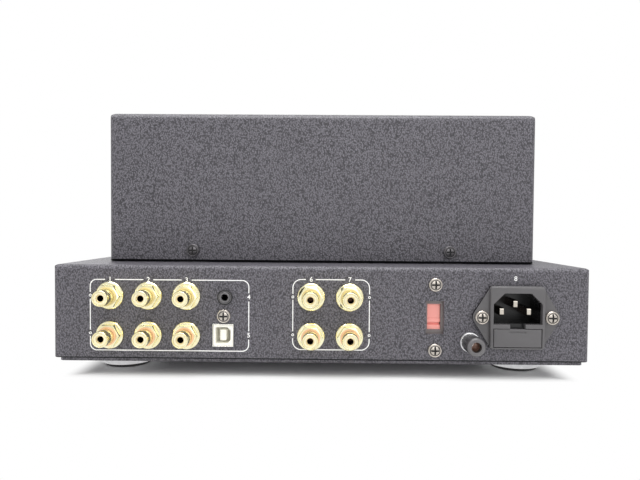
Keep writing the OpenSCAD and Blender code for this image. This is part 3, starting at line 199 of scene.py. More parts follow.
def beyond(place, plane):
    """1 to the rear of a plane across Y, 0 ahead of it."""
    soft = 0.1 * mm
    return place.math("DIVIDE", axis_of(place, "Y") - (plane - soft), 2 * soft, clamp=True)


def sunken(place, shade, deep):
    """The shade, with another colour ahead of each plane that deep lists: painted shade down bores
    and recesses, or a part's own second colour.
    """
    for plane, inner in deep:
        shade = blend(beyond(place, plane), inner, shade)
    return shade


def zigzag(value):
    """Runs from 0 up to 1 and back within each whole step of value."""
    return value.math("PINGPONG", value, 0.5) * 2


def scaled(colour, factor):
    return tuple(c * factor for c in colour)


# Finishes
def wrinkle_coat(name, foot_z=None, foot_h=1.1 * mm):
    """Charcoal powder coat with a leathery grain, and a painted shadow line at the foot where one is
    given.
    """
    pebble_size, fine_size, broad_size = 0.76 * mm, 0.4 * mm, 28 * mm
    grain_depth, foot_soft = 0.28 * mm, 0.2 * mm
    valley, slope, crest = (0.030, 0.028, 0.034), (0.090, 0.085, 0.099), (0.168, 0.160, 0.184)
    haze = (0.092, 0.087, 0.101)
    material, place = new_finish(name, specular_ior_level=0.5)
    loose = wander(stretch(place, 1.0, 1.0, 0.75), 1.6 * mm, 1.0 * mm)
    pebble = place.make("ShaderNodeTexVoronoi", {"feature": "SMOOTH_F1"}, {
        "Vector": loose, "Scale": 1 / pebble_size, "Smoothness": 0.3}, "Distance")
    fine = noise(loose, fine_size, 4.0)
    broad = noise(place, broad_size, 2.0)
    height = (1 - pebble) * 0.75 + fine * 0.5
    # The grain's colour follows its height: painted shade in the valleys and painted light on the
    # crests.
    shade = ramp(height, (0.44, valley), (0.62, slope), (0.84, crest))
    colour = blend(between(broad, 0.0, 0.25), shade, haze)
    rough = between(fine, 0.30, 0.50) + broad * 0.06
    foot = None
    # Painted shadow line: near black within foot_h of foot_z, standing for the shade in the gap
    # under the sheet's edge.
    if foot_z is not None:
        foot = band(axis_of(place, "Z"), foot_z, foot_h, foot_soft)
        colour = blend(foot, colour, near_black)
    return dress(material, colour, rough, bump(height, grain_depth, 0.9), Metallic=foot)


def brushed_alloy(name, colour, along):
    """Anodised aluminium with fine brush lines along one axis."""
    material, place = new_finish(name, metallic=1.0)
    thin = [1.0, 1.0, 1.0]
    thin[along] = 0.012
    lines = noise(stretch(place, *thin), 0.14 * mm, 4.0)
    cloud = noise(place, 45 * mm, 2.0)
    shade = blend(lines * 0.7 + cloud * 0.3, scaled(colour, 0.82), scaled(colour, 1.1))
    return dress(material, shade, between(lines, 0.26, 0.44), bump(lines, 0.012 * mm, 0.6))


def plated(name, colour, rough, stain, *deep):
    """Plated or polished metal with faint stains and handling marks.

    deep lists planes across Y and the colours ahead of them.
    """
    material, place = new_finish(name, metallic=1.0)
    cloud = noise(place, 3.2 * mm, 4.0)
    marks = noise(stretch(place, 1.0, 0.15, 1.0), 0.35 * mm, 3.0)
    shade = blend(ramp(cloud, (0.35, 0.0), (0.75, 1.0)), colour, stain)
    shade = sunken(place, shade, deep)
    spread = between(cloud, rough * 0.7, rough * 1.5) + marks * rough * 0.25
    return dress(material, shade, spread, bump(marks, 0.006 * mm, 0.5))


def moulded(name, colour, rough, *deep):
    """Moulded plastic with an eroded tool texture.

    deep lists planes across Y and the colours ahead of them.
    """
    material, place = new_finish(name)
    pits = noise(place, 0.22 * mm, 3.0)
    cloud = noise(place, 9 * mm, 2.0)
    shade = blend(between(cloud, 0.2, 0.6) + pits * 0.2, scaled(colour, 0.86), scaled(colour, 1.18))
    shade = sunken(place, shade, deep)
    spread = between(pits, rough * 0.85, rough * 1.2)
    return dress(material, shade, spread, bump(pits, 0.02 * mm, 0.7))


def foot_rubber():
    material, place = new_finish("foot_rubber")
    dust = noise(place, 1.8 * mm, 4.0)
    pores = noise(place, 0.3 * mm, 2.0)
    dusty = ramp(dust, (0.5, 0.0), (0.8, 1.0))
    shade = blend(dusty, (0.014, 0.014, 0.015), (0.045, 0.043, 0.041))
    return dress(material, shade, between(dust, 0.6, 0.85), bump(pores, 0.05 * mm, 0.8))


def stacked_laminations():
    """Edges of thin steel sheets, one every half millimetre along the stack."""
    material, place = new_finish("stacked_laminations", metallic=0.6)
    edge = zigzag(axis_of(place, "Y") / (0.5 * mm))
    rust = noise(place, 5 * mm, 4.0)
    steel = blend(edge, (0.05, 0.048, 0.047), (0.24, 0.235, 0.23))
    shade = blend(ramp(rust, (0.55, 0.0), (0.85, 0.6)), steel, (0.16, 0.075, 0.04))
    return dress(material, shade, between(rust, 0.35, 0.6), bump(edge, 0.06 * mm, 0.8))


def winding_tape():
    """Amber tape round the winding, in overlapping turns."""
    material, place = new_finish("winding_tape", coat_weight=0.25)
    turn = axis_of(place, "Z") / (9 * mm)
    lap = turn.math("FRACT", turn)
    cloud = noise(place, 4 * mm, 3.0)
    bright = ramp(lap, (0.0, 0.0), (0.06, 1.0), (1.0, 0.7))
    shade = blend(bright, (0.26, 0.13, 0.02), (0.62, 0.40, 0.09))
    shade = blend(cloud * 0.4, shade, (0.72, 0.52, 0.18))
    return dress(material, shade, between(cloud, 0.25, 0.4), bump(lap, 0.1 * mm, 0.5))


def wire_jacket():
    """Red mains and transformer wires, pale signal wires behind the jacks."""
    material, place = new_finish("wire_jacket")
    cloud = noise(place, 2 * mm, 2.0)
    across = axis_of(place, "X") / (chassis_high.x - chassis_low.x) + 0.5
    signal = ramp(across, (0.40, 0.0), (0.41, 1.0))
    shade = blend(signal, (0.42, 0.03, 0.025), (0.62, 0.61, 0.56))
    shade = blend(cloud * 0.35, shade, (0.1, 0.09, 0.08))
    return dress(material, shade, between(cloud, 0.35, 0.5), bump(cloud, 0.04 * mm, 0.4))


def circuit_board():
    """Green solder mask with tracks that run in straight steps."""
    material, place = new_finish("circuit_board", coat_weight=0.3)
    gap, gap_shade, track = (0, 0, 0, 1), (0.12, 0.12, 0.12, 1), (1, 1, 1, 1)
    bricks = place.make("ShaderNodeTexBrick", {"offset": 0.37}, {
        "Vector": place, "Color1": gap, "Color2": gap_shade, "Mortar": track, "Scale": 1.0,
        "Brick Width": 17 * mm, "Row Height": 4.2 * mm, "Mortar Size": 0.55 * mm}, "Fac")
    cloud = noise(place, 12 * mm, 3.0)
    shade = blend(bricks * 0.8, (0.010, 0.075, 0.034), (0.035, 0.16, 0.06))
    shade = blend(cloud * 0.3, shade, (0.008, 0.05, 0.025))
    return dress(material, shade, between(cloud, 0.22, 0.4), bump(bricks, 0.04 * mm, 0.6))


def capacitor_sleeve():
    """Dark blue shrink sleeve with a pale stripe down one side."""
    material, place = new_finish("capacitor_sleeve", coat_weight=0.2)
    cloud = noise(place, 3 * mm, 3.0)
    column = axis_of(place, "X") / (22 * mm)
    turn = column.math("FRACT", column)
    stripe = ramp(turn, (0.60, 0.0), (0.62, 1.0), (0.76, 1.0), (0.78, 0.0))
    shade = blend(stripe * 0.75, (0.012, 0.018, 0.07), (0.45, 0.48, 0.55))
    shade = blend(cloud * 0.25, shade, (0.02, 0.02, 0.03))
    return dress(material, shade, between(cloud, 0.25, 0.4), bump(cloud, 0.05 * mm, 0.3))


def capacitor_film():
    material, place = new_finish("capacitor_film", coat_weight=0.35)
    cloud = noise(place, 2.5 * mm, 4.0)
    shade = blend(cloud, (0.46, 0.27, 0.03), (0.66, 0.43, 0.07))
    return dress(material, shade, between(cloud, 0.2, 0.38), bump(cloud, 0.06 * mm, 0.5))


def tube_glass(low, high):
    """Clear glass with a faint haze all over and a silver flash under the dome."""
    tint = (0.95, 0.98, 0.97, 1)
    material, place = new_finish("tube_glass", transmission_weight=1.0, ior=1.5, base_color=tint)
    tree = material.node_tree
    glass = tree.nodes["Principled BSDF"]
    cloud = noise(place, 6 * mm, 3.0)
    tree.links.new(between(cloud, 0.0, 0.05).socket, glass.inputs["Roughness"])
    height = (axis_of(place, "Z") - low) / (high - low)
    edge = height + (cloud - 0.5) * 0.06
    mask = ramp(edge, (0.66, 0.0), (0.76, 0.92), (0.9, 0.92), (0.93, 0.15))
    flash = place.make("ShaderNodeBsdfPrincipled", {}, {
        "Base Color": blend(cloud, (0.30, 0.29, 0.28), (0.62, 0.61, 0.60)),
        "Metallic": 1.0, "Roughness": between(cloud, 0.08, 0.2)})
    clear = Wire(tree, glass.outputs[0])
    both = place.make("ShaderNodeMixShader", {}, {0: mask, 1: clear, 2: flash})
    tree.links.new(both.socket, tree.nodes["Material Output"].inputs["Surface"])
    return material


def electrode_metal(low, high):
    """Dark carbonised plates, with pale mica where the two spacers sit."""
    material, place = new_finish("electrode_metal")
    height = axis_of(place, "Z")
    half, soft = 0.45 * mm, 0.05 * mm
    mica = band(height, low, half, soft) + band(height, high, half, soft)
    rib = zigzag(height / (1.6 * mm))
    cloud = noise(place, 1.2 * mm, 3.0)
    plate = blend(cloud, (0.05, 0.05, 0.052), (0.12, 0.12, 0.125))
    shade = blend(mica, plate, (0.66, 0.63, 0.55))
    return dress(material, shade, between(cloud, 0.3, 0.5), bump(rib, 0.08 * mm, 0.5),
                 Metallic=1 - mica.math("MULTIPLY", mica, 0.85, clamp=True))


def glazed_ceramic():
    material, place = new_finish("glazed_ceramic", coat_weight=0.5)
    cloud = noise(place, 3.5 * mm, 4.0)
    specks = ramp(noise(place, 0.5 * mm, 2.0), (0.70, 0.0), (0.76, 1.0))
    shade = blend(cloud, (0.70, 0.67, 0.60), (0.80, 0.78, 0.72))
    shade = blend(specks * 0.5, shade, (0.42, 0.38, 0.31))
    return dress(material, shade, between(cloud, 0.18, 0.32), bump(cloud, 0.04 * mm, 0.4))


def paper_laminate():
    """Brown laminate of the switch wafers, its layers showing on the rim."""
    material, place = new_finish("paper_laminate")
    lines = zigzag(axis_of(place, "Y") / (0.4 * mm))
    cloud = noise(place, 2.2 * mm, 4.0)
    shade = blend(lines * 0.5 + cloud * 0.5, (0.10, 0.045, 0.02), (0.26, 0.13, 0.055))
    return dress(material, shade, between(cloud, 0.35, 0.55), bump(lines, 0.02 * mm, 0.5))


def pilot_lens():
    """Amber lens with a ribbed inside that catches the light."""
    facet_size = 0.5 * mm
    material, place = new_finish("pilot_lens", transmission_weight=0.35, coat_weight=0.6, ior=1.49)
    given = {"Vector": place, "Scale": 1 / facet_size}
    facets = place.make("ShaderNodeTexVoronoi", {}, given, "Distance")
    shade = blend(facets, (0.85, 0.30, 0.03), (0.95, 0.52, 0.10))
    return dress(material, shade, between(facets, 0.08, 0.2), bump(facets, 0.03 * mm, 0.5))


def panel_ink(name, colour):
    """Screen print, thin enough for the grain below to break its surface."""
    material, place = new_finish(name)
    worn = ramp(noise(place, 0.35 * mm, 3.0), (0.30, 1.0), (0.42, 0.0))
    grain = noise(place, 0.4 * mm, 2.0)
    shade = blend(worn, colour, scaled(colour, 0.72))
    return dress(material, shade, between(worn, 0.5, 0.7), bump(grain, 0.02 * mm, 0.6))


# Places where a finish changes
tube_low, tube_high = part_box("tube_1")
mica_low = tube_low.z + 5.25 * mm
mica_high = tube_low.z + 27.25 * mm
jack_tip_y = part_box("jack_insulators_left")[1].y
contact_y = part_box("jack_contacts")[1].y
cap_tip_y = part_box("ground_cap")[1].y
pin_tip_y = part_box("inlet_pins")[1].y
cover_foot_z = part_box("transformer_cover")[0].z

# Colours that more than one finish has
near_black = (0.006, 0.006, 0.007)
charcoal = (0.13, 0.125, 0.13)
dark_brown = (0.085, 0.050, 0.036)
chrome = (0.82, 0.82, 0.83)
cream = (0.88, 0.80, 0.54)

blackened = plated("blackened_steel", charcoal, 0.34, (0.20, 0.19, 0.20))
# Near black behind rear_y + 1.4 mm: painted shade inside the plug recess.
inlet_grey = moulded("inlet_moulding", (0.106, 0.102, 0.106), 0.24,
                     (rear_y + 1.4 * mm, near_black))

# The finish of each material slot
finish_of = {
    "coat": wrinkle_coat("wrinkle_coat"),
    "alloy": brushed_alloy("brushed_alloy", (0.60, 0.60, 0.61), 0),
    "steel": plated("nickel_steel", (0.64, 0.59, 0.54), 0.20, (0.50, 0.46, 0.41)),
    "dark_steel": blackened,
    "chrome": plated("polished_chrome", chrome, 0.09, (0.68, 0.68, 0.69)),
    "rubber": foot_rubber(),
    "laminations": stacked_laminations(),
    "winding_tape": winding_tape(),
    "wire_jacket": wire_jacket(),
    "board": circuit_board(),
    "capacitor_sleeve": capacitor_sleeve(),
    "capacitor_film": capacitor_film(),
    "glass": tube_glass(tube_low.z, tube_high.z),
    "electrodes": electrode_metal(mica_low, mica_high),
    "ceramic": glazed_ceramic(),
    "gold": plated("gold_plate", (1.0, 0.96, 0.68), 0.18, (0.98, 0.87, 0.48)),
    "ivory_plastic": moulded("ivory_moulding", cream, 0.36),
    "red_plastic": moulded("red_moulding", (0.98, 0.39, 0.34), 0.34),
    "black_plastic": moulded("black_moulding", (0.045, 0.044, 0.047), 0.42),
    "white_plastic": moulded("white_moulding", (0.94, 0.92, 0.83), 0.38),
    "bright_tin": plated("bright_tin", (0.93, 0.92, 0.89), 0.2, (0.80, 0.79, 0.76)),
    "brown_laminate": paper_laminate(),
    "lens": pilot_lens(),
}

# Nodes that differ from the rest of their slot
finish_at = {
    # The cover and the shell get a painted shadow line along their lowest edge.
    "transformer_cover": wrinkle_coat("cover_coat", cover_foot_z),
    "chassis_shell": wrinkle_coat("shell_coat", base_z, 0.8 * mm),
    # The pins turn dark brown behind their tips: painted shade down in the recess.
    "inlet_pins": plated("pin_nickel", (0.72, 0.67, 0.60), 0.2, (0.6, 0.55, 0.48),
                         (pin_tip_y - 0.3 * mm, dark_brown)),
    "cover_brackets": blackened,
    "jack_insulators_left": moulded("left_moulding", cream, 0.36,
                                    (jack_tip_y - 2 * mm, (0.74, 0.60, 0.27))),
    "jack_insulators_right": moulded("right_moulding", cream, 0.36,
                                     (jack_tip_y - 2 * mm, (0.92, 0.57, 0.32))),
    # Dark brown behind the contact's front: painted shade down the bore.
    "jack_contacts": plated("contact_gold", (1.0, 0.88, 0.56), 0.2, (0.9, 0.72, 0.4),
                            (contact_y - 0.7 * mm, dark_brown)),
    "mains_inlet": inlet_grey,
    "fuse_drawer": inlet_grey,
    "voltage_switch": moulded("window_moulding", (0.20, 0.175, 0.172), 0.36),
    "minijack": moulded("ring_nut_grey", charcoal, 0.22, (rear_y + 0.2 * mm, near_black)),
    "ground_cap": moulded("cap_moulding", charcoal, 0.34,
                          (cap_tip_y - 0.5 * mm, (0.045, 0.043, 0.046))),
    # A brown non-metal for the brass insert: partly its tarnish, partly painted light that lifts it
    # in the cap's shaded mouth.
    "ground_insert": moulded("tarnish_and_painted_light", (0.34, 0.24, 0.20), 0.4),
    # The stud's front end, in the cap's mouth, is dark brown as painted shade; a paler brown further
    # in, chrome at the collar by the panel.
    "ground_post": plated("post_chrome", dark_brown, 0.25, (0.12, 0.09, 0.075),
                          (rear_y + 10.2 * mm, (0.62, 0.48, 0.42)), (rear_y + 2.5 * mm, chrome)),
}
slot_of = {part["node"]: part["material_slot"] for part in frame["record"]["subparts"]}
body_of = {node: nodes[node]["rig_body"] for node in nodes}


def finish(node):
    return finish_at.get(node, finish_of[slot_of[node]])


# Pieces: edges that turn further than sharp_angle are sharp, and points within one_level are level
sharp_angle = math.radians(32)
one_level = 0.02 * mm


def add_piece(name, mesh, material, body):
    """A finished piece at the origin that rides on a body."""
    piece = bpy.data.objects.new(name, mesh)
    scene.collection.objects.link(piece)
    mesh.materials.clear()
    mesh.materials.append(material)
    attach(piece, body)
    return piece


def stand_for(node, mesh):
    """A dressed piece that stands for a CAD node."""
    piece = add_piece(node + "_dressed", mesh, finish(node), body_of[node])
    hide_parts(node)


def plain_mesh(host):
    """The evaluated mesh of an object, which is then removed."""
    depsgraph = bpy.context.evaluated_depsgraph_get()
    final = host.evaluated_get(depsgraph)
    mesh = bpy.data.meshes.new_from_object(final, depsgraph=depsgraph)
    bpy.data.objects.remove(host)
    return mesh


def mesh_of(shape, name):
    mesh = bpy.data.meshes.new(name)
    shape.to_mesh(mesh)
    shape.free()
    return mesh


def merged_copy(node):
    """A CAD node's shape with its vertices merged."""
    weld = 0.002 * mm
    shape = bmesh.new()
    shape.from_mesh(nodes[node].data)
    bmesh.ops.remove_doubles(shape, verts=shape.verts, dist=weld)
    return shape


def corners(points):
    """Low and high corner of the box round a list of points."""
    return Vector(map(min, zip(*points))), Vector(map(max, zip(*points)))


def rearmost(shape):
    """The vertices of the rearmost face."""
    face_y = max(vert.co.y for vert in shape.verts)
    return [vert for vert in shape.verts if face_y - vert.co.y < one_level]


def outer_rim(shape):
    """The edges round the rearmost face, without those of the openings in it."""
    rim_reach = 0.7 * mm
    face = rearmost(shape)
    low, high = corners([vert.co for vert in face])
    rim = set()
    for vert in face:
        above, below = vert.co - low, high - vert.co
        if min(above.x, below.x, above.z, below.z) < rim_reach:
            rim.add(vert)
    return [edge for edge in shape.edges if rim.issuperset(edge.verts)]


def level_tips(shape):
    """The level edges of the rearmost faces."""
    tips = set(rearmost(shape))
    ends = [edge for edge in shape.edges if tips.issuperset(edge.verts)]
    return [edge for edge in ends if abs(edge.verts[0].co.z - edge.verts[1].co.z) < one_level]


def mark_edges(shape, choose):
    """Marks the chosen edges for the round, and keeps the other sharp edges crisp."""
    weight = shape.edges.layers.float.new("bevel_weight_edge")
    chosen = set(choose(shape))
    for edge in shape.edges:
        if edge.calc_face_angle(0) > sharp_angle:
            rounded = edge in chosen
            edge[weight] = float(rounded)
            edge.smooth = rounded


def soften_edges(node, width):
    """Stands for a CAD node with a merged copy whose edges have a small round."""
    flat_angle = math.radians(0.8)
    shape = merged_copy(node)
    bmesh.ops.dissolve_limit(
        shape, angle_limit=flat_angle, verts=shape.verts, edges=shape.edges)
    for face in shape.faces:
        face.smooth = True
    if node in chosen_edges:
        mark_edges(shape, chosen_edges[node])
    host = bpy.data.objects.new(node + "_host", mesh_of(shape, node + "_host"))
    scene.collection.objects.link(host)
    edge = host.modifiers.new("edge", "BEVEL")
    edge.width = width
    edge.segments = 2
    edge.limit_method = "WEIGHT" if node in chosen_edges else "ANGLE"
    edge.angle_limit = sharp_angle
    edge.harden_normals = True
    stand_for(node, plain_mesh(host))


def held(point, low, high, inset):
    """Nearest point in a box drawn in by inset on every side but the one below."""
    return Vector((
        min(max(point.x, low.x + inset), high.x - inset),
        min(max(point.y, low.y + inset), high.y - inset),
        min(point.z, high.z - inset)))


def round_cover():
    """Stands for the cover with a merged copy whose bends are rounder."""
    node = "transformer_cover"
    sheet, bend, rounder = 1.2 * mm, 3 * mm, 5 * mm
    low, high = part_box(node)
    shape = merged_copy(node)
    for vert in shape.verts:
        core = held(vert.co, low, high, bend)
        arm = vert.co - core
        outside = arm.length > bend - sheet / 2
        more = rounder / bend if outside else (rounder - sheet) / (bend - sheet)
        vert.co = held(core, low, high, rounder) + arm * more
    for edge in shape.edges:
        edge.smooth = edge.calc_face_angle(0) < sharp_angle
    for face in shape.faces:
        face.smooth = True
    stand_for(node, mesh_of(shape, node))


# Nodes with a round on some of their edges alone
chosen_edges = {"mains_inlet": outer_rim, "inlet_pins": level_tips}

# Rounds of the visible edges, in millimetres
edge_rounds = {
    "mains_inlet": 0.55, "fuse_drawer": 0.4, "voltage_slider": 0.3,
    "usb_shell": 0.1, "usb_insert": 0.15, "minijack": 0.25,
    "ground_post": 0.3, "ground_cap": 0.2, "rear_screws": 0.12, "cover_screws": 0.12,
    "input_jacks_left": 0.22, "input_jacks_right": 0.22,
    "output_jacks_left": 0.22, "output_jacks_right": 0.22,
    "jack_insulators_left": 0.1, "jack_insulators_right": 0.1,
    "jack_contacts": 0.12, "inlet_pins": 0.8,
    "volume_knob": 0.3, "selector_knob": 0.3, "power_button": 0.5, "front_panel": 0.25,
    "feet": 0.25, "foot_pads": 0.3,
}


def dress_nodes():
    """Gives every node its finish, and rounder edges to those that show."""
    for node, piece in nodes.items():
        piece.data.materials.clear()
        piece.data.materials.append(finish(node))
    for node, width in edge_rounds.items():
        soften_edges(node, width * mm)
    round_cover()


# Printed lines and numbers
def ribbon(shape, path, width, place):
    """Adds a thin raised line along a path of flat points.

    place turns a flat point and a height into a point in space.
    """
    thick = 0.07 * mm
    sink = -0.02 * mm
    rows = []
    for i, point in enumerate(path):
        before = path[max(i - 1, 0)]
        after = path[min(i + 1, len(path) - 1)]
        along = Vector((after[0] - before[0], after[1] - before[1])).normalized()
        side = Vector((-along.y, along.x)) * width / 2
        row = []
        for sign, height in ((1, sink), (1, thick), (-1, thick), (-1, sink)):
            spot = place(point[0] + sign * side.x, point[1] + sign * side.y, height)
            row.append(shape.verts.new(spot))
        rows.append(row)
    for a, b in zip(rows, rows[1:]):
        for k in range(4):
            shape.faces.new((a[k], a[(k + 1) % 4], b[(k + 1) % 4], b[k]))
    shape.faces.new(rows[0][::-1])
    shape.faces.new(rows[-1])


def arc(u, v, radius, first, last, steps):
    """Flat points round a middle, from the first turn to the last, in degrees."""
    turns = [math.radians(first + (last - first) * i / steps) for i in range(steps + 1)]
    return [(u + radius * math.cos(turn), v + radius * math.sin(turn)) for turn in turns]


def rounded_frame(left, right, low, high, radius):
    """Closed outline from the middle of its top edge, clockwise."""
    steps = 8
    inner_left, inner_right = left + radius, right - radius
    inner_low, inner_high = low + radius, high - radius
    path = [((left + right) / 2, high)]
    for u, v, first in ((inner_right, inner_high, 90), (inner_right, inner_low, 0),
                        (inner_left, inner_low, -90), (inner_left, inner_high, -180)):
        path += arc(u, v, radius, first, first - 90, steps)
    return path + [path[0]]


def cut_runs(path, gaps):
    """Splits an outline where it passes through a gap: a middle and a half size each way."""
    stride = 0.4 * mm
    fine = []
    for (au, av), (bu, bv) in zip(path, path[1:]):
        count = max(1, round(math.hypot(bu - au, bv - av) / stride))
        fine += [(au + (bu - au) * i / count, av + (bv - av) * i / count) for i in range(count)]
    fine.append(path[-1])
    runs, run = [], []
    for u, v in fine:
        if any(abs(u - gu) < half_u and abs(v - gv) < half_v for gu, gv, half_u, half_v in gaps):
            runs.append(run)
            run = []
        else:
            run.append((u, v))
    runs.append(run)
    return [run for run in runs if len(run) > 1]


def add_number(shape, words, height, middle, place):
    """Adds plain figures, centred on a flat point."""
    figure_share, lift = 0.70, 0.03 * mm
    letters = bpy.data.curves.new("figure", "FONT")
    letters.body = words
    letters.size = height / figure_share
    letters.align_x = "CENTER"
    letters.align_y = "CENTER"
    letters.extrude = 0.035 * mm
    letters.offset = 0.05 * mm
    letters.resolution_u = 3
    host = bpy.data.objects.new("figure_host", letters)
    scene.collection.objects.link(host)
    mesh = plain_mesh(host)
    for vert in mesh.vertices:
        vert.co = place(middle[0] + vert.co.x, middle[1] + vert.co.y, vert.co.z + lift)
    shape.from_mesh(mesh)
    bpy.data.meshes.remove(mesh)


def on_rear(u, v, height):
    """Flat point on the rear panel as seen from behind, v above the panel's lower edge."""
    return Vector((-u, rear_y + height, base_z + v))


def on_front(x, z, height):
    return Vector((x, front_y - height, middle_z + z))


def close_shape(shape):
    weld = 0.001 * mm
    bmesh.ops.remove_doubles(shape, verts=shape.verts, dist=weld)
    bmesh.ops.recalc_face_normals(shape, faces=shape.faces)


def rear_print():
    """White frames round the two groups of sockets, with plain numbers in their gaps."""
    line, figure = 0.5 * mm, 2.4 * mm
    mark_r, mark_line = 0.55 * mm, 0.35 * mm
    number_gap, mark_gap = (2.4 * mm, 2.0 * mm), (1.5 * mm, 1.5 * mm)
    white = (0.95, 0.95, 0.94)
    # Left, right, lower and upper edge, and the corners' radius
    input_frame = (-120.4 * mm, -37.3 * mm, 4.7 * mm, 41.8 * mm, 3.4 * mm)
    output_frame = (-14.3 * mm, 25.6 * mm, 5.9 * mm, 42.6 * mm, 4.3 * mm)
    input_left, input_right, _, input_top, _ = input_frame
    output_left, output_right, _, output_top, _ = output_frame
    upper_row, lower_row = 33.45 * mm, 13.6 * mm
    inlet_low, inlet_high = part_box("mains_inlet")
    inlet_u = -(inlet_low.x + inlet_high.x) / 2
    above_inlet = inlet_high.z - base_z + 3.6 * mm
    numbers = [
        (-110.0 * mm, input_top, "1"), (-89.9 * mm, input_top, "2"), (-69.8 * mm, input_top, "3"),
        (input_right, 33.05 * mm, "4"), (input_right, 13.05 * mm, "5"),
        (-4.8 * mm, output_top, "6"), (15.3 * mm, output_top, "7"), (inlet_u, above_inlet, "8")]
    mark_columns = (input_left, output_left, output_right)
    marks = [(u, v) for u in mark_columns for v in (upper_row, lower_row)]
    gaps = [(u, v, *number_gap) for u, v, _ in numbers]
    gaps += [(u, v, *mark_gap) for u, v in marks]
    shape = bmesh.new()
    for outline in (input_frame, output_frame):
        for run in cut_runs(rounded_frame(*outline), gaps):
            ribbon(shape, run, line, on_rear)
    for u, v, words in numbers:
        add_number(shape, words, figure, (u, v), on_rear)
    for u, v in marks:
        ribbon(shape, arc(u, v, mark_r, 0, 360, 12), mark_line, on_rear)
    close_shape(shape)
    mesh = mesh_of(shape, "rear_print")
    add_piece("rear_print", mesh, panel_ink("white_ink", white), "chassis")


# Geometry Nodes: what repeats on the knobs, their scales and the screws; lying turns Z to Y
lying = (math.pi / 2, 0, 0)


def start_tree(name, inputs):
    """A geometry tree with named inputs. Returns its input sockets by name."""
    tree = bpy.data.node_groups.new(name, "GeometryNodeTree")
    for label, kind in inputs.items():
        tree.interface.new_socket(label, in_out="INPUT", socket_type="NodeSocket" + kind)
    tree.interface.new_socket("Geometry", in_out="OUTPUT", socket_type="NodeSocketGeometry")
    given = tree.nodes.new("NodeGroupInput")
    return tree, {label: Wire(tree, given.outputs[label]) for label in inputs}


def end_tree(tree, geometry, material):
    """Realizes the instances and sets their material."""
    real = geometry.make("GeometryNodeRealizeInstances", {}, {"Geometry": geometry})
    done = real.make("GeometryNodeSetMaterial", {}, {"Geometry": real, "Material": material})
    tree.links.new(done.socket, tree.nodes.new("NodeGroupOutput").inputs[0])


def grow(name, tree, values, body, points=()):
    """Runs a geometry tree on the given points and values and keeps the plain mesh."""
    mesh = bpy.data.meshes.new(name + "_host")
    mesh.from_pydata(points, [], [])
    host = bpy.data.objects.new(name + "_host", mesh)
    scene.collection.objects.link(host)
    maker = host.modifiers.new("maker", "NODES")
    maker.node_group = tree
    for item in tree.interface.items_tree:
        if item.in_out == "INPUT" and item.name in values:
            maker[item.identifier] = values[item.name]
    add_piece(name, plain_mesh(host), values["Finish"], body)


def rib_tree():
    """Slender ribs round a knob's side."""
    tree, given = start_tree("knob_ribs", {
        "Count": "Int", "Radius": "Float", "Rib": "Float", "Length": "Float",
        "Place": "Vector", "Finish": "Material"})
    radius = given["Radius"]
    circle = radius.make("GeometryNodeMeshCircle", {}, {
        "Vertices": given["Count"], "Radius": radius})
    rib = radius.make("GeometryNodeMeshCylinder", {"fill_type": "NGON"}, {
        "Vertices": 6, "Radius": given["Rib"], "Depth": given["Length"]})
    ribs = radius.make("GeometryNodeInstanceOnPoints", {}, {"Points": circle, "Instance": rib})
    turned = radius.make("GeometryNodeTransform", {}, {
        "Geometry": ribs, "Translation": given["Place"], "Rotation": lying})
    end_tree(tree, turned, given["Finish"])
    return tree


def tick_tree():
    """Short printed lines on an arc round a knob, the first one at a given turn from the top."""
    tree, given = start_tree("scale_ticks", {
        "Count": "Int", "First": "Float", "Step": "Float", "Radius": "Float",
        "Size": "Vector", "Place": "Vector", "Finish": "Material"})
    step, radius = given["Step"], given["Radius"]
    index = step.make("GeometryNodeInputIndex")
    turn = given["First"] + step * index
    spot = step.make("ShaderNodeCombineXYZ", {}, {
        "X": turn.math("SINE", turn) * radius, "Z": turn.math("COSINE", turn) * radius})
    points = step.make("GeometryNodePoints", {}, {"Count": given["Count"], "Position": spot})
    line = step.make("GeometryNodeMeshCube", {}, {"Size": given["Size"]})
    lean = step.make("ShaderNodeCombineXYZ", {}, {"Y": turn})
    lines = step.make("GeometryNodeInstanceOnPoints", {}, {
        "Points": points, "Instance": line, "Rotation": lean})
    placed = step.make("GeometryNodeTransform", {}, {
        "Geometry": lines, "Translation": given["Place"]})
    end_tree(tree, placed, given["Finish"])
    return tree


def cross_tree():
    """A small cross at each point, lying across Y. One bar is thinner, so that no faces meet."""
    thinner = 0.98
    tree, given = start_tree("screw_crosses", {
        "Points": "Geometry", "Arm": "Float", "Width": "Float", "Depth": "Float",
        "Finish": "Material"})
    arm, width, depth = given["Arm"], given["Width"], given["Depth"]
    level = arm.make("ShaderNodeCombineXYZ", {}, {"X": arm, "Y": depth, "Z": width})
    upright = arm.make("ShaderNodeCombineXYZ", {}, {"X": width, "Y": depth * thinner, "Z": arm})
    bar = arm.make("GeometryNodeMeshCube", {}, {"Size": level})
    post = arm.make("GeometryNodeMeshCube", {}, {"Size": upright})
    cross = arm.make("GeometryNodeJoinGeometry", {}, {"Geometry": bar})
    tree.links.new(post.socket, cross.socket.node.inputs["Geometry"])
    crosses = arm.make("GeometryNodeInstanceOnPoints", {}, {
        "Points": given["Points"], "Instance": cross})
    end_tree(tree, crosses, given["Finish"])
    return tree


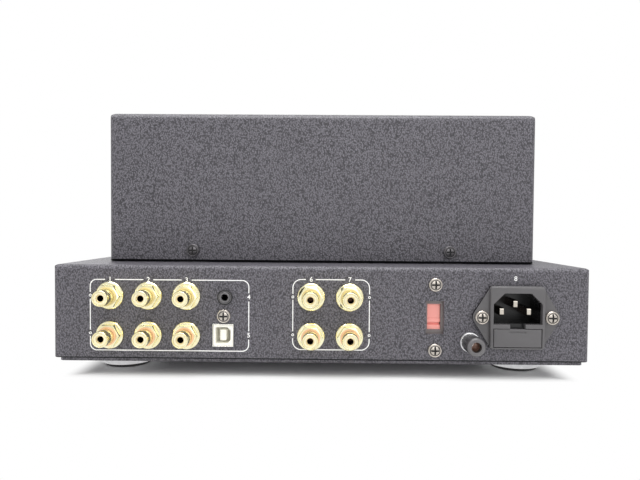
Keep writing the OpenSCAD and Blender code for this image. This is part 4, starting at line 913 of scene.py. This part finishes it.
def ring_tree():
    """A round ring at each point, lying across Y."""
    tree, given = start_tree("screw_rings", {
        "Points": "Geometry", "Radius": "Float", "Thick": "Float", "Finish": "Material"})
    radius = given["Radius"]
    circle = "GeometryNodeCurvePrimitiveCircle"
    path = radius.make(circle, {}, {"Resolution": 40, "Radius": radius})
    section = radius.make(circle, {}, {"Resolution": 10, "Radius": given["Thick"]})
    ring = radius.make("GeometryNodeCurveToMesh", {}, {"Curve": path, "Profile Curve": section})
    smooth = radius.make("GeometryNodeSetShadeSmooth", {}, {"Geometry": ring})
    rings = radius.make("GeometryNodeInstanceOnPoints", {}, {
        "Points": given["Points"], "Instance": smooth, "Rotation": lying})
    end_tree(tree, rings, given["Finish"])
    return tree


def solid_boxes(node):
    """Low and high corner of each solid of a node."""
    shape = merged_copy(node)
    seen, boxes = set(), []
    for first in shape.verts:
        solid, waiting = [], [first]
        while waiting:
            vert = waiting.pop()
            if vert not in seen:
                seen.add(vert)
                solid.append(vert.co.copy())
                waiting += [edge.other_vert(vert) for edge in vert.link_edges]
        if solid:
            boxes.append(corners(solid))
    shape.free()
    return boxes


def screw_tops(node):
    """The middle of each head's top, with 1 for a head that faces the rear or -1 for the front."""
    cover_low, cover_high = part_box("transformer_cover")
    middle_y = (cover_low.y + cover_high.y) / 2
    tops = []
    for low, high in solid_boxes(node):
        facing = 1 if high.y > middle_y else -1
        top_y = high.y if facing > 0 else low.y
        tops.append(((low.x + high.x) / 2, top_y, (low.z + high.z) / 2, facing))
    return tops


def sunk(tops, depth):
    """Points below the tops of the heads."""
    return [(x, y - facing * depth, z) for x, y, z, facing in tops]


def screw_details():
    """Raised rims on the screws that show, and painted shade: dark crosses in their recesses, dark
    rings on their heads and round the small jack.
    """
    cross, ring = cross_tree(), ring_tree()
    painted_shade = finish_of["rubber"]
    # The dark crosses in the recesses and the dark rings on the heads are painted shade.
    recess = {"Arm": 4.0 * mm, "Width": 0.8 * mm, "Depth": 0.5 * mm, "Finish": painted_shade}
    shade_ring = {"Radius": 2.4 * mm, "Thick": 0.26 * mm, "Finish": painted_shade}
    recess_depth, groove_depth, rim_depth = 0.96 * mm, 0.60 * mm, 0.85 * mm
    for node in ("rear_screws", "cover_screws"):
        rim = {"Radius": 3.1 * mm, "Thick": 0.36 * mm, "Finish": finish(node)}
        tops = screw_tops(node)
        grow(node + "_grime", cross, recess, "chassis", sunk(tops, recess_depth))
        grow(node + "_groove", ring, shade_ring, "chassis", sunk(tops, groove_depth))
        grow(node + "_rim", ring, rim, "chassis", sunk(tops, rim_depth))
    low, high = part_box("minijack")
    half = (high.z - low.z) / 2
    middle = (low.x + half, rear_y + 1.5 * mm, low.z + half)
    # The dark ring round the small jack's nut is painted shade.
    gap = {"Radius": 3.7 * mm, "Thick": 0.3 * mm, "Finish": painted_shade}
    grow("minijack_gap", ring, gap, "chassis", [middle])


def knob_details():
    """Ribs on the knobs, inlaid pointers, and printed scales behind them."""
    rib_r, rib_sink, rib_shift, plain_ends = 0.36 * mm, 0.12 * mm, 0.6 * mm, 5 * mm
    ribs_a_mm = 5
    tick_size, tick_gap, tick_lift = (0.45 * mm, 0.1 * mm, 2.0 * mm), 2.4 * mm, 0.02 * mm
    figure_h, figure_gap = 1.9 * mm, 5.1 * mm
    ribs, ticks = rib_tree(), tick_tree()
    ink = panel_ink("dark_ink", (0.05, 0.05, 0.055))
    side = brushed_alloy("turned_alloy", (0.54, 0.54, 0.55), 1)
    inlay = moulded("pointer_paint", (0.05, 0.05, 0.052), 0.4)
    figures = bmesh.new()
    for body, node, span, words in (
        ("volume", "volume_knob", 300, [str(i) for i in range(11)]),
        ("selector", "selector_knob", 120, [str(i) for i in range(1, 6)]),
    ):
        low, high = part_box(node)
        x, y = (low.x + high.x) / 2, (low.y + high.y) / 2
        radius, length, count = (high.x - low.x) / 2, high.y - low.y, len(words)
        grow(body + "_ribs", ribs, {
            "Count": round(radius / mm * ribs_a_mm), "Radius": radius - rib_sink, "Rib": rib_r,
            "Length": length - plain_ends, "Place": (x, y + rib_shift, middle_z), "Finish": side},
            body)
        first, step = math.radians(-span / 2), math.radians(span / (count - 1))
        grow(body + "_ticks", ticks, {
            "Count": count, "First": first, "Step": step, "Radius": radius + tick_gap,
            "Size": tick_size, "Place": (x, front_y - tick_lift, middle_z), "Finish": ink},
            "chassis")
        reach = radius + figure_gap
        for i, figure in enumerate(words):
            turn = first + i * step
            spot = (x + reach * math.sin(turn), reach * math.cos(turn))
            add_number(figures, figure, figure_h, spot, on_front)
        add_piece(body + "_pointer", pointer_bar(x, radius, low.y), inlay, body)
    close_shape(figures)
    mesh = mesh_of(figures, "scale_numbers")
    add_piece("scale_numbers", mesh, ink, "chassis")


def pointer_bar(x, radius, face_y):
    """Painted inlay that fills the channel along the pointer, rounded at its inner end."""
    half, low, high = 0.62 * mm, 0.5 * radius, 0.965 * radius
    top_y, bottom_y = face_y + 0.3 * mm, face_y + 1.15 * mm
    outline = arc(0, low, half, 180, 360, 8) + [(half, high), (-half, high)]
    shape = bmesh.new()
    front = [shape.verts.new((x + u, top_y, middle_z + v)) for u, v in outline]
    back = [shape.verts.new((x + u, bottom_y, middle_z + v)) for u, v in outline]
    shape.faces.new(front)
    shape.faces.new(back[::-1])
    for i in range(len(outline)):
        j = (i + 1) % len(outline)
        shape.faces.new((front[i], back[i], back[j], front[j]))
    bmesh.ops.recalc_face_normals(shape, faces=shape.faces)
    return mesh_of(shape, "pointer")


# Studio
def light_path(tree, *rays):
    """1 for the named kinds of ray."""
    path = tree.nodes.new("ShaderNodeLightPath")
    total = Wire(tree, path.outputs[rays[0]])
    for ray in rays[1:]:
        total = total + Wire(tree, path.outputs[ray])
    return total.math("MINIMUM", total, 1.0)


def pale_floor():
    """Pale floor, white where it is seen or mirrored, apart from a painted shadow round the unit's
    footprint.
    """
    side_inset, spill, fade = 10 * mm, 6.5 * mm, 16 * mm
    grey, pale = (0.80, 0.80, 0.80), (0.84, 0.84, 0.84)
    material, place = new_finish("pale_floor", roughness=0.6)
    tree = material.node_tree
    shader = Wire(tree, tree.nodes["Principled BSDF"].outputs[0])
    dress(material, blend(noise(place, 300 * mm), grey, pale))
    middle, half = (chassis_low + chassis_high) / 2, (chassis_high - chassis_low) / 2
    from_side = half.x - side_inset - place.math("ABSOLUTE", axis_of(place, "X") - middle.x)
    from_end = half.y - place.math("ABSOLUTE", axis_of(place, "Y") - middle.y)
    under = place.math("MINIMUM", from_side, from_end)
    # Painted shadow: the white starts to give way spill outside the footprint, its sides drawn in by
    # side_inset, and is gone fade further in; glossy rays still see at least 0.6 of the white there,
    # a painted reflection.
    shade = (under + spill) / fade
    smooth = {"interpolation_type": "SMOOTHSTEP"}
    lit = 1 - shade.make("ShaderNodeMapRange", smooth, {"Value": shade})
    white = place.make("ShaderNodeEmission", {}, {"Color": (1, 1, 1, 1), "Strength": 1.0})
    seen = light_path(tree, "Is Camera Ray", "Is Transmission Ray") * lit
    mirrored = light_path(tree, "Is Glossy Ray") * between(lit, 0.6, 1.0)
    shown = place.math("MAXIMUM", seen, mirrored)
    both = place.make("ShaderNodeMixShader", {}, {0: shown, 1: shader, 2: white})
    tree.links.new(both.socket, tree.nodes["Material Output"].inputs["Surface"])
    shape = bmesh.new()
    bmesh.ops.create_grid(shape, x_segments=2, y_segments=2, size=4.0)
    floor = bpy.data.objects.new("floor", mesh_of(shape, "floor"))
    floor.data.materials.append(material)
    scene.collection.objects.link(floor)


def sky():
    """White where it is seen, a plain even light elsewhere."""
    world = bpy.data.worlds.new("studio")
    scene.world = world
    world.use_nodes = True
    tree = world.node_tree
    seen = light_path(tree, "Is Camera Ray", "Is Transmission Ray")
    mirrored = light_path(tree, "Is Glossy Ray")
    strength = between(seen, 0.6, 1.0) + mirrored * 0.2
    background = tree.nodes["Background"]
    tree.links.new(strength.socket, background.inputs["Strength"])
    background.inputs["Color"].default_value = (1, 1, 1, 1)


def lamp(name, power, size, at, aim):
    """A softbox at one point, turned toward another."""
    light = bpy.data.lights.new(name, "AREA")
    light.energy = power
    light.shape = "RECTANGLE"
    light.size, light.size_y = size
    holder = bpy.data.objects.new(name, light)
    turn = (Vector(aim) - Vector(at)).to_track_quat("-Z", "Y").to_matrix().to_4x4()
    holder.matrix_world = Matrix.Translation(at) @ turn
    scene.collection.objects.link(holder)


def studio():
    sky()
    pale_floor()
    lamp("ceiling_softbox", 18.0, (1.1, 0.7), (0.0, 0.2, 1.3), (0, 0.03, 0.06))
    lamp("rear_fill", 5.5, (1.6, 0.9), (-0.25, 1.25, 0.75), (0, 0.1, 0.07))
    lamp("front_fill", 5.0, (1.4, 0.9), (0.3, -1.3, 0.8), (0, -0.1, 0.06))


def camera():
    """The photograph's view: from behind, slightly above the deck."""
    focal_px, photo_px, sensor = 518, 640, 36
    eye = (-2.3 * mm, rear_y + 269.0 * mm, base_z + 70.4 * mm)
    yaw, pitch, roll = (math.radians(a) for a in (-0.574, 1.525, 0.429))
    level = math.cos(pitch)
    ahead = Vector((-math.sin(yaw) * level, -math.cos(yaw) * level, -math.sin(pitch)))
    right = Vector((-math.cos(yaw), math.sin(yaw), 0))
    up = right.cross(ahead)
    across = math.cos(roll) * right + math.sin(roll) * up
    upward = math.cos(roll) * up - math.sin(roll) * right
    lens = bpy.data.cameras.new("view")
    lens.lens = focal_px / photo_px * sensor
    lens.sensor_width = sensor
    lens.clip_start = 0.01
    holder = bpy.data.objects.new("view", lens)
    turn = Matrix((across, upward, -ahead)).transposed().to_4x4()
    holder.matrix_world = Matrix.Translation(eye) @ turn
    scene.collection.objects.link(holder)
    scene.camera = holder


dress_nodes()
rear_print()
screw_details()
knob_details()
studio()
camera()
scene.view_settings.view_transform = "Standard"
